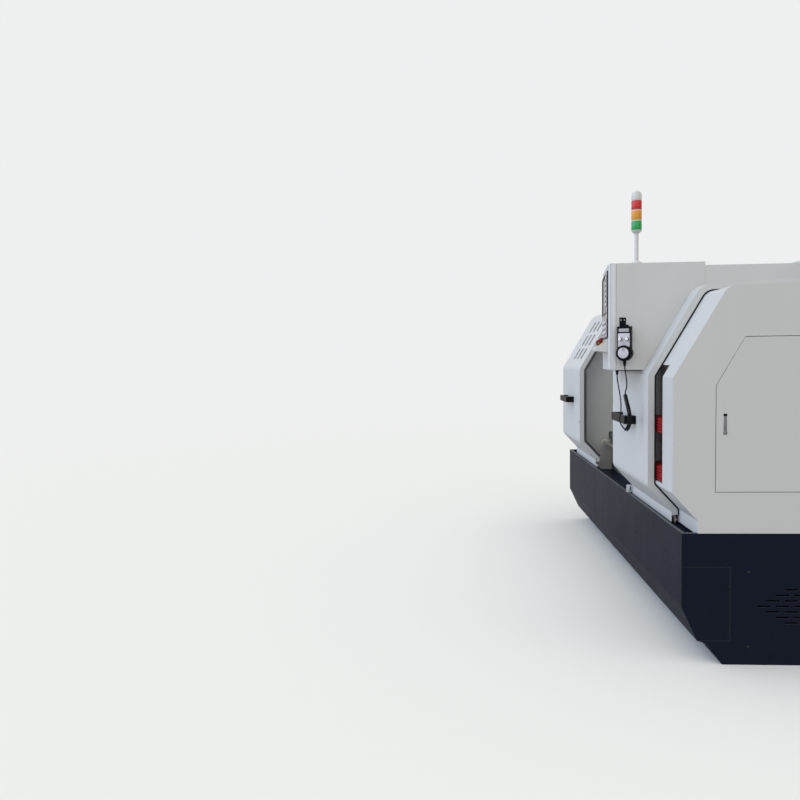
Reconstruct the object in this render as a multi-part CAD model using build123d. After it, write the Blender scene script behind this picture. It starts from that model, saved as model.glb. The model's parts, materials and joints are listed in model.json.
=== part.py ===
from build123d import *
import os
from math import atan2, cos, degrees, hypot, pi, radians, sin, tan

# A fully guarded flat-bed turning lathe. The operator stands at the front and looks along +Y.
# The headstock is at the left end and the tailstock at the right end.
# +X is to the operator's right, +Z is up, and the origin is on the floor under the middle.
# All sizes are in millimetres. Names ending in _IN are distances behind the base front.

# Overall size
LENGTH = 3240
RIGHT = LENGTH / 2
LEFT = -LENGTH / 2
CONSOLE_REACH = 305
SHEET = 3
TOUCH = 0.3
RUNNING = 0.05

# Bed and feed screw
BED_LEFT_ROOM = 220
BED_RIGHT_ROOM = 300
BED_LEFT = LEFT + BED_LEFT_ROOM
BED_RIGHT = RIGHT - BED_RIGHT_ROOM
BED_TOP = 830
BED_FRONT_IN = 185
BED_WIDTH = 390
BED_WALL = 40
BED_WALL_INSET = 28
BED_FOOT = 35
BED_FOOT_INSET = 20
BED_GAP = 6
WAY_WIDTH = 95
WAY_HEIGHT = 45
RIB_COUNT = 9
AXIS_IN = BED_FRONT_IN + BED_WIDTH / 2
AXIS_Z = 1080
SCREW_AHEAD = 35
SCREW_IN = BED_FRONT_IN - SCREW_AHEAD
SCREW_Z = 752
SCREW_R = 16
SCREW_NUT_SIDE = 40
LUG_LENGTH = 40
LUG_FRONT = 32
LUG_DROP = 36
LUG_ROOM = 25

# Base
BASE_TOP = 606
REAR_ROOM = 167
BASE_DEPTH = BED_FRONT_IN + BED_WIDTH + REAR_ROOM
REAR_TOP = 460
REAR_SHELF = 348
REAR_DEPTH = BASE_DEPTH + REAR_SHELF
SWITCH_PROUD = 45
REAR_REACH = REAR_DEPTH + SWITCH_PROUD
FRONT = (CONSOLE_REACH - REAR_REACH) / 2
BASE_KNEE = 267
PLINTH_IN = 72
PLINTH_TOP = 109
PLINTH_LEDGE = 36
PLINTH_FALL = 9
PLINTH_FOOT_IN = 185
BASE_RIM = 18
TRAY_FLOOR = 545
BOLT_END = 220
BOLT_SPAN_X = LENGTH - BOLT_END * 2
BOLT_IN = 300
BOLT_BACK = 90
BOLT_SPAN_Y = REAR_DEPTH - BOLT_BACK - BOLT_IN
BOLT_R = 11
BOLT_DEPTH = 80
MOTOR_BAY_LENGTH = 560
MOTOR_BAY_WIDTH = 340
MOTOR_BAY_FLOOR = 150

# Sloped floor rails and the rollers of the doors
RAIL_TOP = 588
RAIL_THICK = 6
ROLLER_R = 14
ROLLER_WIDTH = 8
ROLLER_PIN_R = 4
LEFT_TRACK_IN = 45
RIGHT_TRACK_IN = 60
BRACKET_HALF = 20
ANCHOR_HALF = 15
ANCHOR_IN = 40
BRACKET_HEIGHT = 11

# End vents and corner panel
VENT_IN = 490
VENT_Z = 272
VENT_ROWS = (1, 2, 3, 4, 3, 2, 1)
VENT_SLOT = 62
VENT_SLOT_HEIGHT = 8
VENT_PITCH = 80
VENT_ROW_PITCH = 25.5
VENT_BAY = 160
VENT_BAY_HALF = 190
VENT_BAY_RISE = 100
CORNER_REACH_X = 270
CORNER_REACH_IN = 218
CORNER_TOP = 452
CORNER_SCREW_R = 5
CORNER_SCREW_IN = 209
CORNER_SCREWS_Z = (150, 365)
PANEL_GAP = 2
FRONT_HOLE_R = 5
FRONT_HOLES = ((1179, 474), (266, 463))

# Section of the fixed covers
COVER_FOOT_IN = 72
COVER_CHIN = 664
COVER_FACE_IN = -42
COVER_FACE_LOW = 789
COVER_FACE_HIGH = 1315
COVER_BROW_IN = 198
COVER_BROW = 1723
COVER_RISE = 0.034
CHIN_R = 12
BROW_R = 60
LEFT_COVER_LENGTH = 780
RIGHT_COVER_LENGTH = 900
LEFT_COVER_END = LEFT + LEFT_COVER_LENGTH
RIGHT_COVER_END = RIGHT - RIGHT_COVER_LENGTH
GUARD_DEPTH = 36
GUARD_IN = BASE_DEPTH - GUARD_DEPTH
CHUCK_HOLE_R = 175

# Notch for the door stops in the right cover
NOTCH_RIGHT_IN = 167
NOTCH_LENGTH = 270
NOTCH_LOW = 805
NOTCH_HIGH = 1370
NOTCH_DEPTH = 60
BUFFER_LENGTH = 252
BUFFER_HEIGHT = 70
BUFFER_PITCH = 233
BUFFER_LOW_Z = 848
BUFFER_RIBS = 5
BUFFER_RIB_DEPTH = 7
BUFFER_SETBACK = 3

# Access door in the right end
ACCESS_IN = 150
ACCESS_WIDTH = 525
ACCESS_LOW = 796
ACCESS_HIGH = 1495
ACCESS_GAP = 2.5
ACCESS_CHAMFER_Y = 125
ACCESS_CHAMFER_Z = 217
HINGE_R = 6
HINGE_PIN_R = 3
HINGE_END = 30
HINGE_CLEAR = 0.6
KNUCKLES = 5
LATCH_IN = 40
LATCH_WIDTH = 18
LATCH_HEIGHT = 96
LATCH_DEPTH = 20
LATCH_WALL = 2
LATCH_Z = 1105

# Sliding doors
DOOR_STANDOFF = 39
DOOR_FLANGE = 31
DOOR_LENGTH_LEFT = 830
DOOR_LENGTH_RIGHT = 804
LEFT_DOOR_ROOM = 170
RIGHT_DOOR_ROOM = 281
LEFT_DOOR_EDGE = LEFT + LEFT_DOOR_ROOM + DOOR_LENGTH_LEFT
RIGHT_DOOR_EDGE = RIGHT - RIGHT_DOOR_ROOM - DOOR_LENGTH_RIGHT
DOOR_LIP = 600
LIP_HEIGHT = 34
DOOR_BACK_IN = BASE_DEPTH - 2
TOP_RAIL_TOP = 1757
TOP_RAIL_EDGE = 7
SHOE_LENGTH = 60
SHOE_END = 60
SHOE_EDGE = 10
GRILLE_ROWS = 3
GRILLE_COLUMNS = 3
GRILLE_LENGTH = 92
GRILLE_WIDTH = 62
GRILLE_PITCH = 150
GRILLE_ROW_PITCH = 122
GRILLE_MIDDLE = 240
GRILLE_FROM_EDGE = 360
GRILLE_X = LEFT_DOOR_EDGE - GRILLE_FROM_EDGE
PANE_MARGIN = 20
PANE_THICK = 4

# Door handles
HANDLE_Z = 1083
HANDLE_HEIGHT = 42
HANDLE_PROUD = 60
HANDLE_BLOCK = 70
HANDLE_LENGTH = 320
HANDLE_BAR = 12
HANDLE_R = 5
LEFT_HANDLE_END = 270
RIGHT_HANDLE_END = 239

# Headstock and spindle
HEAD_LEFT_ROOM = 190
HEAD_LENGTH = 540
HEAD_LEFT = LEFT + HEAD_LEFT_ROOM
HEAD_RIGHT = HEAD_LEFT + HEAD_LENGTH
HEAD_WIDTH = 370
HEAD_TOP = 1290
HEAD_SHOULDER_Y = 60
HEAD_SHOULDER_Z = 90
HEAD_COLLAR = 12
SPINDLE_R = 60
SPINDLE_BORE_R = 41
SPINDLE_TAIL = 30
NOSE_R = 105
NOSE_LENGTH = 55
PULLEY_WIDTH = 50
PULLEY_ROOM = 15
PULLEY_LEFT = HEAD_LEFT - PULLEY_ROOM - PULLEY_WIDTH
SPINDLE_PULLEY_R = 120
MOTOR_PULLEY_R = 70
MOTOR_SHAFT_R = 19
MOTOR_Z = 330
MOTOR_SIZE = 240
MOTOR_LENGTH = 360
MOTOR_FINS = 6
MOTOR_FIN_PITCH = 36
BELT_THICK = 8
BELT_INSET = 4
CHUCK_R = 125
CHUCK_LENGTH = 95
CHUCK_BACK = HEAD_RIGHT + NOSE_LENGTH
CHUCK_BORE_R = 33
JAW_WIDTH = 32
JAW_LENGTH = 70
JAW_PROUD = 50
JAW_INNER_R = 38
JAW_TONGUE = 12
JAW_ROOT = 20
JAW_NECK = 10

# Tailstock
TAIL_ROOM = 390
TAIL_LENGTH = 330
TAIL_LEFT = RIGHT - TAIL_ROOM - TAIL_LENGTH
TAIL_WIDTH = 230
TAIL_FOOT = 60
TAIL_NECK = 70
TAIL_THROAT = 60
TAIL_SHOULDER = 30
TAIL_CROWN = 68
TAIL_CROWN_HALF = 40
QUILL_R = 38
QUILL_REACH = 60
QUILL_BODY = 250
QUILL_BORE_R = 14
TAIL_SCREW_R = 12
CENTRE_R = 22
CENTRE_TAPER = 1.7
WHEEL_R = 95
WHEEL_RIM_R = 10
WHEEL_HUB_R = 22
WHEEL_ROOM = 20
LEVER_IN = 90
LEVER_DROP = 20
LEVER_SHAFT_R = 9
LEVER_LENGTH = 100
LEVER_BALL_R = 12

# Carriage
SADDLE_FROM_TAIL = 600
SADDLE_X = TAIL_LEFT - SADDLE_FROM_TAIL
SADDLE_LENGTH = 380
SADDLE_THICK = 68
SADDLE_WING = 90
SADDLE_STEP = 18
APRON_FRONT = 65
CROSS_WIDTH = 200
CROSS_LENGTH = 300
CROSS_THICK = 56
CROSS_AHEAD = 20
CROSS_IN = BED_FRONT_IN - CROSS_AHEAD
CROSS_TOP = BED_TOP + SADDLE_THICK + TOUCH + CROSS_THICK
TEE_SLOT_X = 70
TEE_SLOT_HALF = 6
TEE_SLOT_DEPTH = 12
TOOL_POST = 150
TOOL_POST_BACK = 80
TOOL_POST_IN = CROSS_IN + TOOL_POST_BACK
TOOL_PLATE = 16
TOOL_BASE_HEIGHT = 55
TOOL_HEAD_HEIGHT = 95
TOOL_SLOT_LOW = 30
TOOL_SLOT_HEIGHT = 30
TOOL_SLOT_DEPTH = 28
X_SCREW_R = 10
X_SCREW_DROP = 15
X_SLOT_HALF = 30
X_SERVO_LENGTH = 100
X_SERVO_SIZE = 84
Z_SERVO_LENGTH = 170
Z_SERVO_SIZE = 110

# Control box on the right door
BOX_FROM_EDGE = 129
BOX_RIGHT = RIGHT_DOOR_EDGE + DOOR_LENGTH_RIGHT - BOX_FROM_EDGE
BOX_WIDTH = 520
BOX_LEFT = BOX_RIGHT - BOX_WIDTH
BOX_FRONT_IN = -245
BOX_YAW_SET = 75
BOX_BACK_IN = 230
BOX_LOW = 1345
BOX_CHAMFER = 10
BOX_CORNER = 12
BOX_SEAM_IN = 38
BOX_SINK = 20
BOX_SEAM = 1.5
UNIT_WIDTH = 470
SHELF_RAISE = 91
SHELF_LIP_HEIGHT = 26
SHELF_SLANT = 38
SHELF_REACH = 60
SHELF_LOW = BOX_LOW + SHELF_RAISE
SHELF_LIP = SHELF_LOW + SHELF_LIP_HEIGHT
SHELF_HIGH = SHELF_LIP + SHELF_SLANT
UNIT_RAISE = 8
UNIT_HEIGHT = 340
UNIT_LOW = SHELF_HIGH + UNIT_RAISE
UNIT_HIGH = UNIT_LOW + UNIT_HEIGHT
BOX_BROW = 32
BOX_HIGH = UNIT_HIGH + BOX_BROW
UNIT_DEPTH = 12
UNIT_PROUD = 5
SCREEN_BROW = 16
SCREEN_HEIGHT = 190
SCREEN_HIGH = UNIT_HIGH - SCREEN_BROW
SCREEN_LOW = SCREEN_HIGH - SCREEN_HEIGHT
SCREEN_WIDTH = 290
SCREEN_SIDE = -60
SCREEN_SET = 4
KEY_SIZE = 20
KEY_PITCH = 27
KEY_PROUD = 2.5
KEY_COLUMNS = 4
KEY_ROWS = 6
LOW_KEY_COLUMNS = 15
LOW_KEY_ROWS = 3
BUTTON_R = 11
BUTTON_STEM_R = 8
BUTTON_SINK = 18
STOP_R = 20
KNOB_SIZE_R = 13
STOP_U = 185
START_U = 105
HOLD_U = 50
KNOB_U = -30
DUCT_WIDTH = 470
DUCT_HEIGHT = 100

# Hand pendant and its cord
PENDANT_YAW = 30
PENDANT_WIDTH = 76
PENDANT_DEPTH = 28
PENDANT_HIGH = 1563
PENDANT_IN = -165
PENDANT_STAND = 24
DIAL_R = 31
DIAL_DROP = 132
DIAL_Z = PENDANT_HIGH - DIAL_DROP
KNOB_R = 9
KNOB_DROP = 63
KNOB_Z = PENDANT_HIGH - KNOB_DROP
KNOB_PITCH = 34
CORD_R = 3
COIL_R = 11.5
HOOK_IN = -175
HOOK_HALF = 16
HOOK_RISE = 46
HOOK_HIGH = PENDANT_HIGH + HOOK_RISE
HOOK_ARM = 24

# Signal lamp
LAMP_FROM_SIDE = 45
LAMP_IN = -97
LAMP_TOP = 2244
LAMP_R = 25
LAMP_FOOT_R = 26
LAMP_WAIST = 2
POLE_R = 10
POLE_LENGTH = 165
LENS_HEIGHT = 51

# Electrical cabinet
CABINET_LENGTH = 1500
CABINET_RIGHT = RIGHT - 2
CABINET_LEFT = CABINET_RIGHT - CABINET_LENGTH
CABINET_TOP = 1890
CABINET_DOOR = 22
CABINET_DOOR_GAP = 1
CABINET_BACK = REAR_DEPTH - CABINET_DOOR - CABINET_DOOR_GAP
CABINET_PLATE = 40
CABINET_PLATE_INSET = 60
CABINET_HINGE_X = 8
CABINET_HINGES = 3
CABINET_HINGE_PITCH = 560
CABINET_HINGE_LOW = 110
KNUCKLE = 40
SWITCH_R = 32
SWITCH_IN = 200
SWITCH_Z = 1500
SWITCH_PLATE = 100
COOLER_IN = BASE_DEPTH + 85
COOLER_WIDTH = 215
COOLER_HEIGHT = 314
COOLER_DEPTH = 60
COOLER_LOW = 1466
COOLER_FLANGE = 12
COOLER_SLOTS = 9
COOLER_SLOT_DEPTH = 8

# Coolant tank
TANK_ROOM = 470
TANK_LENGTH = 900
TANK_X = LEFT + TANK_ROOM + TANK_LENGTH / 2
TANK_HEIGHT = 270
TANK_LIFT = 12
TANK_WALL = 4
TANK_CLEAR = 20
TANK_DECK = 320
TANK_BAY_ROOM = 160
PUMP_X = 120
PUMP_R = 52
PUMP_HEIGHT = 130


def behind(distance):
    """Gives the y of a plane that lies this far behind the base front."""
    return FRONT + distance


def block(x0, x1, y0, y1, z0, z1):
    """Gives a box between two corners."""
    return Pos((x0 + x1) / 2, (y0 + y1) / 2, (z0 + z1) / 2) * Box(x1 - x0, y1 - y0, z1 - z0)


def prism(points, x0, x1):
    """Extrudes a section of (distance behind the front, height) points along X."""
    outline = make_face(Polyline(*[(behind(y), z) for y, z in points], close=True).edges())
    return Pos(x0, 0, 0) * extrude(Plane.YZ * outline, x1 - x0)


def rod_x(x0, x1, y, z, radius):
    return Pos((x0 + x1) / 2, y, z) * Rot(0, 90, 0) * Cylinder(radius, x1 - x0)


def rod_y(x, y0, y1, z, radius):
    return Pos(x, (y0 + y1) / 2, z) * Rot(90, 0, 0) * Cylinder(radius, y1 - y0)


def rod_z(x, y, z0, z1, radius):
    return Pos(x, y, (z0 + z1) / 2) * Cylinder(radius, z1 - z0)


def roof(distance):
    """Gives the height of the covers' top this far behind the base front."""
    return COVER_BROW + (distance - COVER_BROW_IN) * COVER_RISE


def cover_line(back_in):
    """Gives the outer section line of the fixed covers, from the tray up and over to the back."""
    points = [
        (COVER_FOOT_IN, TRAY_FLOOR),
        (COVER_FOOT_IN, COVER_CHIN),
        (COVER_FACE_IN, COVER_FACE_LOW),
        (COVER_FACE_IN, COVER_FACE_HIGH),
        (COVER_BROW_IN, COVER_BROW),
        (back_in, roof(back_in)),
    ]
    return FilletPolyline(*[(behind(y), z) for y, z in points], radius=[CHIN_R, CHIN_R, CHIN_R, BROW_R])


def strip(depth, back_in):
    """Gives the section between the cover line and a line that runs this far outside it."""
    side = Side.LEFT if depth > 0 else Side.RIGHT
    outline = offset(cover_line(back_in), amount=abs(depth), side=side, closed=True)
    return make_face(outline.edges())


def shell(inner, outer, x0, x1, back_in):
    """Extrudes the layer that lies between two distances outside the cover line."""
    if inner == 0:
        layer = strip(outer, back_in)
    elif outer == 0:
        layer = strip(inner, back_in)
    else:
        layer = strip(outer, back_in) - strip(inner, back_in)
    return Pos(x0, 0, 0) * extrude(Plane.YZ * layer, x1 - x0)


def end_section(back_in):
    """Gives the filled section under the cover line, closed along the tray and the rear guard."""
    line = cover_line(back_in)
    start = line @ 0
    end = line @ 1
    corner = (behind(back_in), TRAY_FLOOR)
    closing = Polyline((end.X, end.Y), corner, (start.X, start.Y))
    return make_face(line.edges() + closing.edges())


def end_plate(x0, x1):
    """Gives an end wall or partition that fills the covers' section."""
    return Pos(x0, 0, 0) * extrude(Plane.YZ * end_section(GUARD_IN), x1 - x0)


def rim_clearance():
    """Gives the space of the base's rims at both ends, for the covers to stand on."""
    y0 = behind(0)
    y1 = behind(BASE_DEPTH)
    low = TRAY_FLOOR - 1
    return [block(LEFT - 1, LEFT + BASE_RIM, y0, y1, low, BASE_TOP),
            block(RIGHT - BASE_RIM, RIGHT + 1, y0, y1, low, BASE_TOP)]


# Base and fixed guards
def vent_slots(x0, x1, middle_in):
    """Gives a diamond of horizontal slots as bars to cut away."""
    bars = []
    for row, count in enumerate(VENT_ROWS):
        z = VENT_Z + ((len(VENT_ROWS) - 1) / 2 - row) * VENT_ROW_PITCH
        for column in range(count):
            y = behind(middle_in) + (column - (count - 1) / 2) * VENT_PITCH
            half = VENT_SLOT / 2
            bars.append(block(x0, x1, y - half, y + half, z - VENT_SLOT_HEIGHT / 2, z + VENT_SLOT_HEIGHT / 2))
    return bars


def base_section():
    return [
        (0, BASE_TOP),
        (0, BASE_KNEE),
        (PLINTH_IN, PLINTH_TOP),
        (PLINTH_IN + PLINTH_LEDGE, PLINTH_TOP - PLINTH_FALL),
        (PLINTH_FOOT_IN, 0),
        (REAR_DEPTH, 0),
        (REAR_DEPTH, REAR_TOP),
        (BASE_DEPTH, REAR_TOP),
        (BASE_DEPTH, BASE_TOP),
    ]


def corner_sheet(growth):
    """Gives the folded sheet that wraps the lower front corner at the right end."""
    far = CORNER_REACH_IN * 2
    over = BASE_TOP - 20
    x0 = RIGHT - CORNER_REACH_X * 2
    body = prism([(0, over), (0, BASE_KNEE), (PLINTH_IN, PLINTH_TOP), (far, PLINTH_TOP), (far, over)],
                 x0, RIGHT)
    core = prism([(SHEET, over + 1), (SHEET, BASE_KNEE), (PLINTH_IN + SHEET, PLINTH_TOP),
                  (PLINTH_IN + SHEET, 0), (far + 1, 0), (far + 1, over + 1)], x0 - 1, RIGHT - SHEET)
    reach = block(RIGHT - CORNER_REACH_X - growth, RIGHT + 1, behind(-1), behind(CORNER_REACH_IN + growth),
                  PLINTH_TOP + PANEL_GAP - growth, CORNER_TOP + growth)
    return (body - core) & reach


def base_frame():
    """Gives the welded base with its tray, bays, vents, bolt holes and the two door rails."""
    body = prism(base_section(), LEFT, RIGHT)
    left = LEFT + BASE_RIM
    right = RIGHT - BASE_RIM
    tray = block(left, right, behind(BASE_RIM), behind(BASE_DEPTH - BASE_RIM), TRAY_FLOOR, BASE_TOP + 1)
    bay_half = MOTOR_BAY_WIDTH / 2
    axis = behind(AXIS_IN)
    bay = block(left, left + MOTOR_BAY_LENGTH, axis - bay_half, axis + bay_half, MOTOR_BAY_FLOOR,
                TRAY_FLOOR + 1)
    tank_half = TANK_LENGTH / 2 + TANK_CLEAR
    tank_bay = block(TANK_X - tank_half, TANK_X + tank_half, behind(BASE_DEPTH + TANK_CLEAR),
                     behind(REAR_DEPTH) + 1, TANK_LIFT, TANK_LIFT + TANK_HEIGHT + TANK_BAY_ROOM)
    vent_bay = block(RIGHT - VENT_BAY, RIGHT - SHEET * 2, behind(VENT_IN - VENT_BAY_HALF),
                     behind(VENT_IN + VENT_BAY_HALF), VENT_Z - VENT_BAY_RISE, VENT_Z + VENT_BAY_RISE)
    body -= tray + bay + tank_bay + vent_bay
    body -= vent_slots(RIGHT - VENT_BAY / 2, RIGHT + 1, VENT_IN)
    body -= vent_slots(LEFT - 1, left + 1, AXIS_IN)
    body -= corner_sheet(PANEL_GAP / 2)
    body -= [rod_z(x, y, -1, BOLT_DEPTH, BOLT_R) for x, y in bolt_places()]
    body -= [rod_y(RIGHT - x, FRONT - 1, FRONT + BASE_RIM / 2, z, FRONT_HOLE_R) for x, z in FRONT_HOLES]
    for track in (LEFT_TRACK_IN, RIGHT_TRACK_IN):
        body += block(left, right, behind(track) - RAIL_THICK / 2, behind(track) + RAIL_THICK / 2, TRAY_FLOOR,
                      RAIL_TOP)
    return body


def bolt_places():
    """Gives the places of the foundation bolts: a rectangle of four and one more pair midway."""
    rows = (behind(BOLT_IN), behind(BOLT_IN) + BOLT_SPAN_Y)
    return [(x, y) for x in (-BOLT_SPAN_X / 2, 0, BOLT_SPAN_X / 2) for y in rows]


def corner_panel():
    screws = [rod_x(RIGHT - SHEET - 1, RIGHT + 1, behind(CORNER_SCREW_IN), z, CORNER_SCREW_R)
              for z in CORNER_SCREWS_Z]
    return corner_sheet(-PANEL_GAP / 2) - screws


def bed_gap(x0, x1):
    """Gives the opening for the bed in a partition, a little wider than the bed's own section."""
    front = behind(BED_FRONT_IN)
    back = front + BED_WIDTH
    ways = block(x0, x1, front - BED_GAP, back + BED_GAP, BED_TOP - WAY_HEIGHT - BED_GAP, BED_TOP + BED_GAP)
    foot = BED_FOOT_INSET - BED_GAP
    return ways + block(x0, x1, front + foot, back - foot, TRAY_FLOOR - 1, BED_TOP)


def left_cover():
    """Gives the folded cover over the headstock with its end wall and its partition."""
    body = shell(-SHEET, 0, LEFT, LEFT_COVER_END, GUARD_IN - TOUCH)
    body += end_plate(LEFT, LEFT + SHEET)
    body -= rim_clearance()
    x0 = LEFT_COVER_END - SHEET
    partition = end_plate(x0, LEFT_COVER_END) - bed_gap(x0 - 1, LEFT_COVER_END + 1)
    partition -= rod_x(x0 - 1, LEFT_COVER_END + 1, behind(AXIS_IN), AXIS_Z, CHUCK_HOLE_R)
    partition -= rod_x(x0 - 1, LEFT_COVER_END + 1, behind(SCREW_IN), SCREW_Z, SCREW_R + BED_GAP)
    return body + partition


def notch_pocket(growth):
    right = RIGHT - NOTCH_RIGHT_IN
    back = behind(COVER_FACE_IN + NOTCH_DEPTH)
    return block(right - NOTCH_LENGTH - growth, right + growth, behind(COVER_FACE_IN) - 60, back + growth,
                 NOTCH_LOW - growth, NOTCH_HIGH + growth)


def access_outline(growth):
    """Gives the outline of the access door on the right end, grown by a gap."""
    low = ACCESS_LOW - growth
    high = ACCESS_HIGH + growth
    near = ACCESS_IN - growth
    far = ACCESS_IN + ACCESS_WIDTH
    return [(near, low), (far, low), (far, high), (ACCESS_IN + ACCESS_CHAMFER_Y, high),
            (near, ACCESS_HIGH - ACCESS_CHAMFER_Z)]


def access_knuckles(owner):
    """Gives the barrels of the access door's hinge that belong to the wall (0) or the door (1)."""
    run = (ACCESS_HIGH - ACCESS_LOW - HINGE_END * 2) / KNUCKLES
    y = behind(ACCESS_IN + ACCESS_WIDTH)
    x = RIGHT - HINGE_R
    barrels = []
    for number in range(KNUCKLES):
        if number % 2 == owner:
            low = ACCESS_LOW + HINGE_END + number * run
            barrels.append(rod_z(x, y, low + 1, low + run - 1, HINGE_R))
    return barrels


def right_cover():
    """Gives the folded cover over the tailstock with its end wall, stop notch and hinge barrels."""
    body = shell(-SHEET, 0, RIGHT_COVER_END, RIGHT, GUARD_IN - TOUCH)
    inside = shell(-NOTCH_DEPTH * 2.5, 0, RIGHT_COVER_END, RIGHT, GUARD_IN)
    body -= notch_pocket(0)
    body += (notch_pocket(SHEET) - notch_pocket(0)) & inside
    wall = end_plate(RIGHT - SHEET, RIGHT)
    wall -= prism(access_outline(ACCESS_GAP), RIGHT - SHEET - 1, RIGHT + 1)
    hinge_y = behind(ACCESS_IN + ACCESS_WIDTH)
    wall -= block(RIGHT - SHEET * 2, RIGHT + 1, hinge_y - 1, hinge_y + HINGE_R + HINGE_CLEAR, ACCESS_LOW,
                  ACCESS_HIGH)
    body += wall
    for barrel in access_knuckles(0):
        low = barrel.bounding_box().min.Z
        high = barrel.bounding_box().max.Z
        body += barrel + block(RIGHT - SHEET, RIGHT, hinge_y, hinge_y + HINGE_R + 1, low, high)
    pin_low = ACCESS_LOW + HINGE_END + 1
    pin_high = ACCESS_HIGH - HINGE_END - 1
    body += rod_z(RIGHT - HINGE_R, hinge_y, pin_low, pin_high, HINGE_PIN_R)
    return body - rim_clearance()


def access_door():
    """Gives the access door with its hinge barrels and its recessed pull latch."""
    body = prism(access_outline(0), RIGHT - SHEET, RIGHT)
    hinge_y = behind(ACCESS_IN + ACCESS_WIDTH)
    body -= block(RIGHT - SHEET - 1, RIGHT + 1, hinge_y - HINGE_R - HINGE_CLEAR, hinge_y + 1, ACCESS_LOW - 1,
                  ACCESS_HIGH + 1)
    for barrel in access_knuckles(1):
        low = barrel.bounding_box().min.Z
        high = barrel.bounding_box().max.Z
        body += barrel + block(RIGHT - SHEET, RIGHT, hinge_y - HINGE_R - 1, hinge_y, low, high)
    body -= rod_z(RIGHT - HINGE_R, hinge_y, ACCESS_LOW, ACCESS_HIGH, HINGE_PIN_R + RUNNING)
    y = behind(ACCESS_IN + LATCH_IN)
    half = LATCH_WIDTH / 2
    rise = LATCH_HEIGHT / 2
    cup = block(RIGHT - LATCH_DEPTH - LATCH_WALL, RIGHT, y - half, y + half, LATCH_Z - rise, LATCH_Z + rise)
    half -= LATCH_WALL
    rise -= LATCH_WALL
    pocket = block(RIGHT - LATCH_DEPTH, RIGHT + 1, y - half, y + half, LATCH_Z - rise, LATCH_Z + rise)
    grip = block(RIGHT - LATCH_WALL * 4, RIGHT - 1, y - half, y + half, LATCH_Z + rise / 4, LATCH_Z + rise)
    return body + cup - pocket + grip


def rear_guard():
    """Gives the folded rear wall with the top rail that the doors run on."""
    front = behind(GUARD_IN)
    back = behind(BASE_DEPTH)
    high = roof(GUARD_IN)
    body = block(LEFT, RIGHT, back - SHEET, back, BASE_TOP, high)
    body += block(LEFT, RIGHT, front, back, high - SHEET, high)
    foot_front = behind(BASE_DEPTH - BASE_RIM)
    body += block(LEFT, RIGHT, foot_front, back, BASE_TOP, BASE_TOP + SHEET)
    body += block(LEFT, RIGHT, front + TOP_RAIL_EDGE, back - TOP_RAIL_EDGE, high, TOP_RAIL_TOP)
    return body


def stop_buffers():
    """Gives the two red ribbed rubber blocks that stop the right door."""
    right = RIGHT - NOTCH_RIGHT_IN
    left = right - BUFFER_LENGTH
    back = behind(COVER_FACE_IN + NOTCH_DEPTH)
    front = behind(COVER_FACE_IN) + BUFFER_SETBACK
    pitch = BUFFER_HEIGHT / BUFFER_RIBS
    blocks = []
    for number in range(2):
        low = BUFFER_LOW_Z + number * BUFFER_PITCH - BUFFER_HEIGHT / 2
        piece = block(left, right, front + BUFFER_RIB_DEPTH - 1, back, low, low + BUFFER_HEIGHT)
        for rib in range(BUFFER_RIBS):
            z = low + rib * pitch
            piece += block(left, right, front, front + BUFFER_RIB_DEPTH, z, z + pitch * 0.6)
        blocks.append(piece)
    return blocks


# Bed, headstock and drive
def bed():
    """Gives the cast bed: two walls on a foot, cross ribs and two ways, with the screw's lugs."""
    front = behind(BED_FRONT_IN)
    back = front + BED_WIDTH
    near = front + BED_WALL_INSET
    far = back - BED_WALL_INSET
    under_ways = BED_TOP - WAY_HEIGHT
    body = block(BED_LEFT, BED_RIGHT, front + BED_FOOT_INSET, back - BED_FOOT_INSET, TRAY_FLOOR,
                 TRAY_FLOOR + BED_FOOT)
    for wall in (near, far - BED_WALL):
        body += block(BED_LEFT, BED_RIGHT, wall, wall + BED_WALL, TRAY_FLOOR, under_ways)
    body += block(BED_LEFT, BED_RIGHT, front, front + WAY_WIDTH, under_ways, BED_TOP)
    body += block(BED_LEFT, BED_RIGHT, back - WAY_WIDTH, back, under_ways, BED_TOP)
    pitch = (BED_RIGHT - BED_LEFT - BED_WALL) / (RIB_COUNT - 1)
    for number in range(RIB_COUNT):
        x = BED_LEFT + number * pitch
        body += block(x, x + BED_WALL, near, far, TRAY_FLOOR, BED_TOP - WAY_HEIGHT / 2)
    for x in screw_lugs():
        lug = block(x, x + LUG_LENGTH, behind(SCREW_IN) - LUG_FRONT, near + 2, SCREW_Z - LUG_DROP, under_ways)
        body += lug - rod_x(x - 1, x + LUG_LENGTH + 1, behind(SCREW_IN), SCREW_Z, SCREW_R + RUNNING)
    return body


def screw_lugs():
    """Gives where the feed screw's two lugs start: behind the partition and at the bed's right end."""
    return (LEFT_COVER_END - LUG_ROOM - LUG_LENGTH, BED_RIGHT - LUG_LENGTH)


def headstock():
    """Gives the headstock casting with its shoulders, its front collar and the spindle's bore."""
    half = HEAD_WIDTH / 2
    low = HEAD_TOP - HEAD_SHOULDER_Z
    near = AXIS_IN - half
    far = AXIS_IN + half
    section = [(near, BED_TOP), (far, BED_TOP), (far, low), (far - HEAD_SHOULDER_Y, HEAD_TOP),
               (near + HEAD_SHOULDER_Y, HEAD_TOP), (near, low)]
    body = prism(section, HEAD_LEFT, HEAD_RIGHT)
    front = HEAD_RIGHT + HEAD_COLLAR
    body += rod_x(HEAD_RIGHT, front, behind(AXIS_IN), AXIS_Z, NOSE_R + 15)
    return body - rod_x(HEAD_LEFT - 1, front + 1, behind(AXIS_IN), AXIS_Z, SPINDLE_R + RUNNING)


def spindle_place():
    return Pos(0, behind(AXIS_IN), AXIS_Z)


def turned(points):
    """Revolves a half section of (x, radius) points about the X axis."""
    outline = make_face(Polyline(*points, close=True).edges())
    return revolve(outline, Axis.X, 360)


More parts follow.
